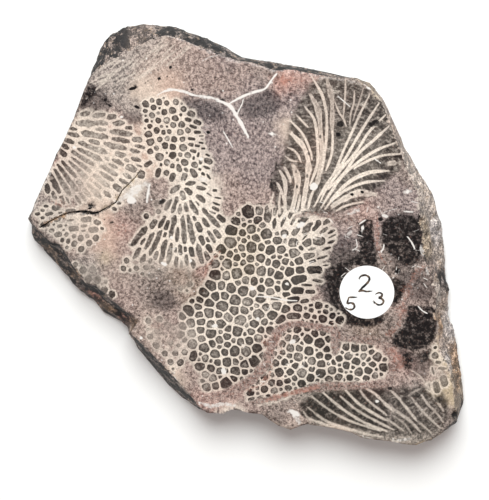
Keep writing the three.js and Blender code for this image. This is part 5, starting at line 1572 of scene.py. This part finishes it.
tube = use(tree, "calcite fill", Tone=field(tree, "tone"), Tint=tint, Floors=floors)["Colour"]
colour = mix(tree, tube_mask, colour, tube)
rust = soft_step(tree, noise(tree, place, 0.9, 3.0, 0.7), 0.35, 0.65)
rusty = mix(tree, rust, seen("brick"), seen("coral"))
colour = mix(tree, product(tree, seam_mask, 0.65), colour, rusty)
# Dark spots and the crack's painted shade, laid on in pitch.
colour = mix(tree, spot_and_crack_shade_mask, colour, seen("pitch"))
colour = mix(tree, vein_mask, colour, seen("chalk", 0.95))
tree.links.new(colour, surface.inputs["Base Color"])
gloss = product(tree, mud["Height"], 0.12)
tree.links.new(sum_up(tree, "ADD", gloss, 0.22), surface.inputs["Roughness"])
surface.inputs["Specular IOR Level"].default_value = 0.2
ruffle(tree, surface, mud["Height"], 0.10, 0.00008)
print("material polished:", len(tree.nodes), "nodes")

# %% [markdown]
# ## Broken sides and sawn underside
# A fresh break in limestone is dull and crumbly, with lighter grains and hollows
# between them; the hollows get painted shade, nearly black. The underside was sawn
# and never polished: dull, paler, with faint arcs of the saw and only a ghost of the
# coral in it.

# %% Material: broken sides
tree, surface = blank(bpy.data.materials["broken"])
place = position(tree)
# The side colours hold painted light and shade from the side dabs.
tint = field(tree, "tint", colour=True)
rock = use(tree, "stone grain", Colour=tint, Clouds=0.75, Crumbs=0.8, Grit=0.8, Specks=0.8)
lie = add(tree, "ShaderNodeMapping")
lie.inputs["Scale"].default_value = (0.85, 0.8, 0.7)
tree.links.new(place, lie.inputs["Vector"])
paleness = add(tree, "ShaderNodeRGBToBW")
tree.links.new(tint, paleness.inputs[0])
depth = soft_step(tree, paleness.outputs[0], 0.06, 0.4, 1.0, 0.55)
fibre = soft_step(tree, noise(tree, lie.outputs[0], 1.1, 4.0, 0.7), 0.54, 0.40)
dark = mix(tree, 0.75, rock["Colour"], (0.38, 0.34, 0.31, 1), "MULTIPLY")
colour = mix(tree, product(tree, fibre, depth), rock["Colour"], dark)
pale = mix(tree, 0.55, rock["Colour"], mix(tree, 0.5, seen("straw"), seen("ochre")))
flecks = noise(tree, lie.outputs[0], 1.0, 3.0, 0.7)
colour = mix(tree, soft_step(tree, flecks, 0.54, 0.64, 0.0, 0.6), colour, pale)
# Painted shade: pits of the break, marked by this noise, are painted nearly black.
hollow = noise(tree, lie.outputs[0], 1.9, 5.0, 0.7)
hollow_shade = product(tree, soft_step(tree, hollow, 0.57, 0.48), depth)
colour = mix(tree, hollow_shade, colour, seen("pitch"))
tree.links.new(colour, surface.inputs["Base Color"])
dull = sum_up(tree, "ADD", product(tree, rock["Height"], 0.2), 0.55)
tree.links.new(dull, surface.inputs["Roughness"])
ruffle(tree, surface, sum_up(tree, "ADD", rock["Height"], hollow), 0.7, 0.00025)
print("material broken:", len(tree.nodes), "nodes")

# %% Material: sawn underside
tree, surface = blank(bpy.data.materials["sawn"])
place = position(tree)
drift = noise(tree, place, 16.0, 3.0, 0.55)
ground = mix(tree, soft_step(tree, drift, 0.35, 0.65), seen("clay"), seen("fawn"))
rock = use(tree, "stone grain", Colour=ground, Clouds=0.5, Crumbs=0.5, Grit=0.5, Specks=0.7)
ghost = add(tree, "ShaderNodeTexVoronoi", Scale=1.0 / (2.1 * MM), feature="DISTANCE_TO_EDGE",
            Randomness=0.9)
tree.links.new(place, ghost.inputs["Vector"])
coral_zone = soft_step(tree, noise(tree, place, 22.0, 2.0, 0.5), 0.50, 0.56)
cell = product(tree, soft_step(tree, ghost.outputs["Distance"], 0.10, 0.20), coral_zone)
edge = product(tree, soft_step(tree, ghost.outputs["Distance"], 0.12, 0.06), coral_zone)
colour = mix(tree, product(tree, cell, 0.6), rock["Colour"], seen("umber"))
colour = mix(tree, product(tree, edge, 0.6), colour, seen("bone"))
arcs = add(tree, "ShaderNodeTexWave", wave_type="RINGS", rings_direction="Z", Scale=260.0, Distortion=0.6)
away = add(tree, "ShaderNodeMapping")
away.inputs["Location"].default_value = (0.16, 0.10, 0.0)
tree.links.new(place, away.inputs["Vector"])
tree.links.new(away.outputs[0], arcs.inputs["Vector"])
colour = mix(tree, product(tree, arcs.outputs["Fac"], 0.12), colour, seen("bone"))
tree.links.new(colour, surface.inputs["Base Color"])
surface.inputs["Roughness"].default_value = 0.78
scored = sum_up(tree, "ADD", rock["Height"], product(tree, arcs.outputs["Fac"], 0.6))
ruffle(tree, surface, scored, 0.35, 0.0001)
print("material sawn:", len(tree.nodes), "nodes")

# %% [markdown]
# ## The paper dot
# A round sticker of plain white paper, 13 mm across, carries hand-written numbers in
# brown-black ink. It is a thin disc. The ink soaks into the paper, so it is only
# colour: the strokes are drawn into the disc's top face in the same way as the
# coral, as lines with a value on their points. The numbers are made up, and only
# stand for such numbers.

# %% Ink strokes, mm from the dot's middle: width, strength, points
DOT_MIDDLE = ((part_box("label")[0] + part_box("label")[1]) / 2 / MM)[:2]
DOT_RADIUS = (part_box("label")[1].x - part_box("label")[0].x) / 2 / MM
STROKES = [
    (0.36, 1.0, (-1.9, 3.3), (-1.5, 3.9), (-0.5, 4.2), (0.4, 3.8), (0.5, 3.0), (-0.2, 2.0), (-1.2, 1.0),
     (-2.0, 0.1)),
    (0.36, 1.0, (-2.0, 0.1), (-1.1, 0.4), (-0.1, 0.2), (1.0, 0.3)),
    (0.36, 1.0, (-2.6, -1.3), (-3.5, -1.3), (-4.3, -1.4)),
    (0.36, 1.0, (-4.3, -1.4), (-4.5, -2.2), (-4.6, -2.9), (-3.8, -2.7), (-3.1, -3.0), (-2.9, -3.7),
     (-3.4, -4.3), (-4.3, -4.3), (-4.9, -4.0)),
    (0.36, 1.0, (2.2, -0.3), (2.9, 0.0), (3.6, -0.3), (3.5, -0.9), (2.8, -1.3), (3.6, -1.5), (4.0, -2.2),
     (3.5, -2.9), (2.7, -3.0), (2.1, -2.6)),
]
sheet = {"at": [], "edges": [], "coral": [], "lumen": [], "tone": []}
strokes = [(*lay_line(s[2:], s[0], 0.10, 0.28), s[1]) for s in STROKES]
turn = np.arange(72) * 2 * math.pi / 72
disc_rim = DOT_RADIUS * np.stack([np.cos(turn), np.sin(turn)], 1)
for ring in (0.97, 0.85, 0.68, 0.5, 0.3, 0.1):
    count = max(6, int(60 * ring))
    around = np.arange(count) * 2 * math.pi / count + ring * 9
    spots = DOT_RADIUS * ring * np.stack([np.cos(around), np.sin(around)], 1)
    drawn = np.array(sheet["at"])
    put([p for p in spots if np.linalg.norm(drawn - p, axis=1).min() > 0.25], 0.0, 0.0, 0.5)
inner = np.array(sheet["at"])
rim_loop = [[i, (i + 1) % 72] for i in range(72)]
dot_flat, _, dot_tiles, _, _, _ = delaunay_2d_cdt(
    [Vector(p) for p in np.vstack([disc_rim, inner])],
    rim_loop + (np.array(sheet["edges"]) + 72).tolist(), [], 0, 1e-6)
dot_flat = np.array([tuple(p) for p in dot_flat])
dot_tiles = np.array(dot_tiles)
corner = dot_flat[dot_tiles]
turned = np.cross(corner[:, 1] - corner[:, 0], corner[:, 2] - corner[:, 0]) < 0
dot_tiles[turned] = dot_tiles[turned][:, ::-1]
print("paper dot:", round(2 * DOT_RADIUS, 2), "mm across,", len(dot_tiles), "triangles on top")

# %% Build the dot: its face, its edge, its back
dot_top, dot_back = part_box("label")[1].z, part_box("label")[0].z
dot_mesh = bpy.data.meshes.new("label_paper")
dot_heights = np.full((len(dot_flat), 1), dot_top / MM)
places = np.hstack([dot_flat + np.array(DOT_MIDDLE), dot_heights]) * MM
dot_mesh.from_pydata(places.tolist(), [], dot_tiles.tolist())
ink = line_value(dot_flat, strokes)
layer = dot_mesh.attributes.new("ink", "FLOAT", "POINT")
layer.data.foreach_set("value", ink.astype(np.float32))
dot = new_object("label_paper", dot_mesh)
pick(dot)
bpy.ops.object.mode_set(mode="EDIT")
bpy.ops.mesh.select_mode(type="EDGE")
bpy.ops.mesh.select_all(action="DESELECT")
bpy.ops.mesh.select_non_manifold()
bpy.ops.mesh.extrude_edges_move(TRANSFORM_OT_translate={"value": (0, 0, dot_back - dot_top)})
bpy.ops.mesh.edge_face_add()
bpy.ops.mesh.select_all(action="SELECT")
bpy.ops.mesh.normals_make_consistent(inside=False)
bpy.ops.object.mode_set(mode="OBJECT")
bpy.ops.object.shade_smooth_by_angle(angle=math.radians(40))
paper = bpy.data.materials.new("paper")
dot_mesh.materials.append(paper)
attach(dot, "root")
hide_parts("label")
print("dot from z =", round(dot_back / MM, 3), "to", round(dot_top / MM, 3), "mm")

# %% Material: paper and ink
tree, surface = blank(paper)
place = position(tree)
pulp = noise(tree, place, 0.35, 4.0, 0.65)
fibres = soft_step(tree, pulp, 0.3, 0.7)
sheet_colour = mix(tree, fibres, (0.80, 0.80, 0.79, 1), (0.86, 0.86, 0.855, 1))
pressed = ragged(tree, "ink", 0.5, 0.3, 0.75)
wet = noise(tree, place, 1.2, 2.0, 0.5)
ink_colour = mix(tree, soft_step(tree, wet, 0.42, 0.60), seen("pitch", 0.6), seen("brown", 0.7))
tree.links.new(mix(tree, pressed, sheet_colour, ink_colour), surface.inputs["Base Color"])
surface.inputs["Roughness"].default_value = 0.85
ruffle(tree, surface, pulp, 0.2, 0.00003)
print("material paper:", len(tree.nodes), "nodes")

# %% [markdown]
# ## Table, light and camera
# The slab lies on a pale table in an even, bright room, with one big soft lamp from
# beyond its upper edge, so the only shadow is a narrow soft one along the near
# edge. The camera looks down from high above, tipped about 14 degrees.

# %% Table
bpy.ops.object.select_all(action="DESELECT")
bpy.ops.mesh.primitive_plane_add(size=2.4, location=(0, 0, 0))
table = bpy.context.object
table.name = "table"
cloth = bpy.data.materials.new("table")
table.data.materials.append(cloth)
tree, surface = blank(cloth)
surface.inputs["Base Color"].default_value = (0.87, 0.868, 0.862, 1)
surface.inputs["Roughness"].default_value = 0.9
print("table 2.4 m across")

# %% Light
ROOM_LIGHT = 0.45
LAMP_WATTS = 8.5
world = bpy.data.worlds.new("room")
bpy.context.scene.world = world
world.use_nodes = True
background = world.node_tree.nodes["Background"]
background.inputs["Color"].default_value = (1.0, 0.90, 0.865, 1)
background.inputs["Strength"].default_value = ROOM_LIGHT
lamp_data = bpy.data.lights.new("lamp", "AREA")
lamp_data.shape = "DISK"
lamp_data.size = 0.5
lamp_data.energy = LAMP_WATTS
lamp_data.color = (0.955, 1.0, 1.0)
lamp = new_object("lamp", lamp_data)
lamp.location = (0.035, 0.50, 0.605)
lamp.rotation_euler = (Vector((0, 0, 0)) - lamp.location).to_track_quat("-Z", "Y").to_euler()
bpy.context.scene.view_settings.view_transform = "Standard"
print("lamp", round(lamp.location.length, 2), "m away")

# %% Camera
LENS = 120.738                          # mm
CAMERA_AT = Vector((0.041245, 0.088840, 0.399433))
CAMERA_AIM = Vector((0.000784, -0.002036, 0.012))
camera_data = bpy.data.cameras.new("camera")
camera_data.lens = LENS
camera_data.sensor_width = 36.0
camera = new_object("camera", camera_data)
back = (CAMERA_AT - CAMERA_AIM).normalized()
right = Vector((0, 1, 0)).cross(back).normalized()
up = back.cross(right)
turn = Matrix((right, up, back)).transposed().to_4x4()
camera.matrix_world = Matrix.Translation(CAMERA_AT) @ turn
bpy.context.scene.camera = camera
print("camera", round((CAMERA_AT - CAMERA_AIM).length * 1000), "mm from the slab")

# %% [markdown]
# ## Finish
# The finished pieces must fill the same box as the measured part. At the end the
# scene is brought up to date.

# %% Finish
bpy.context.view_layer.update()
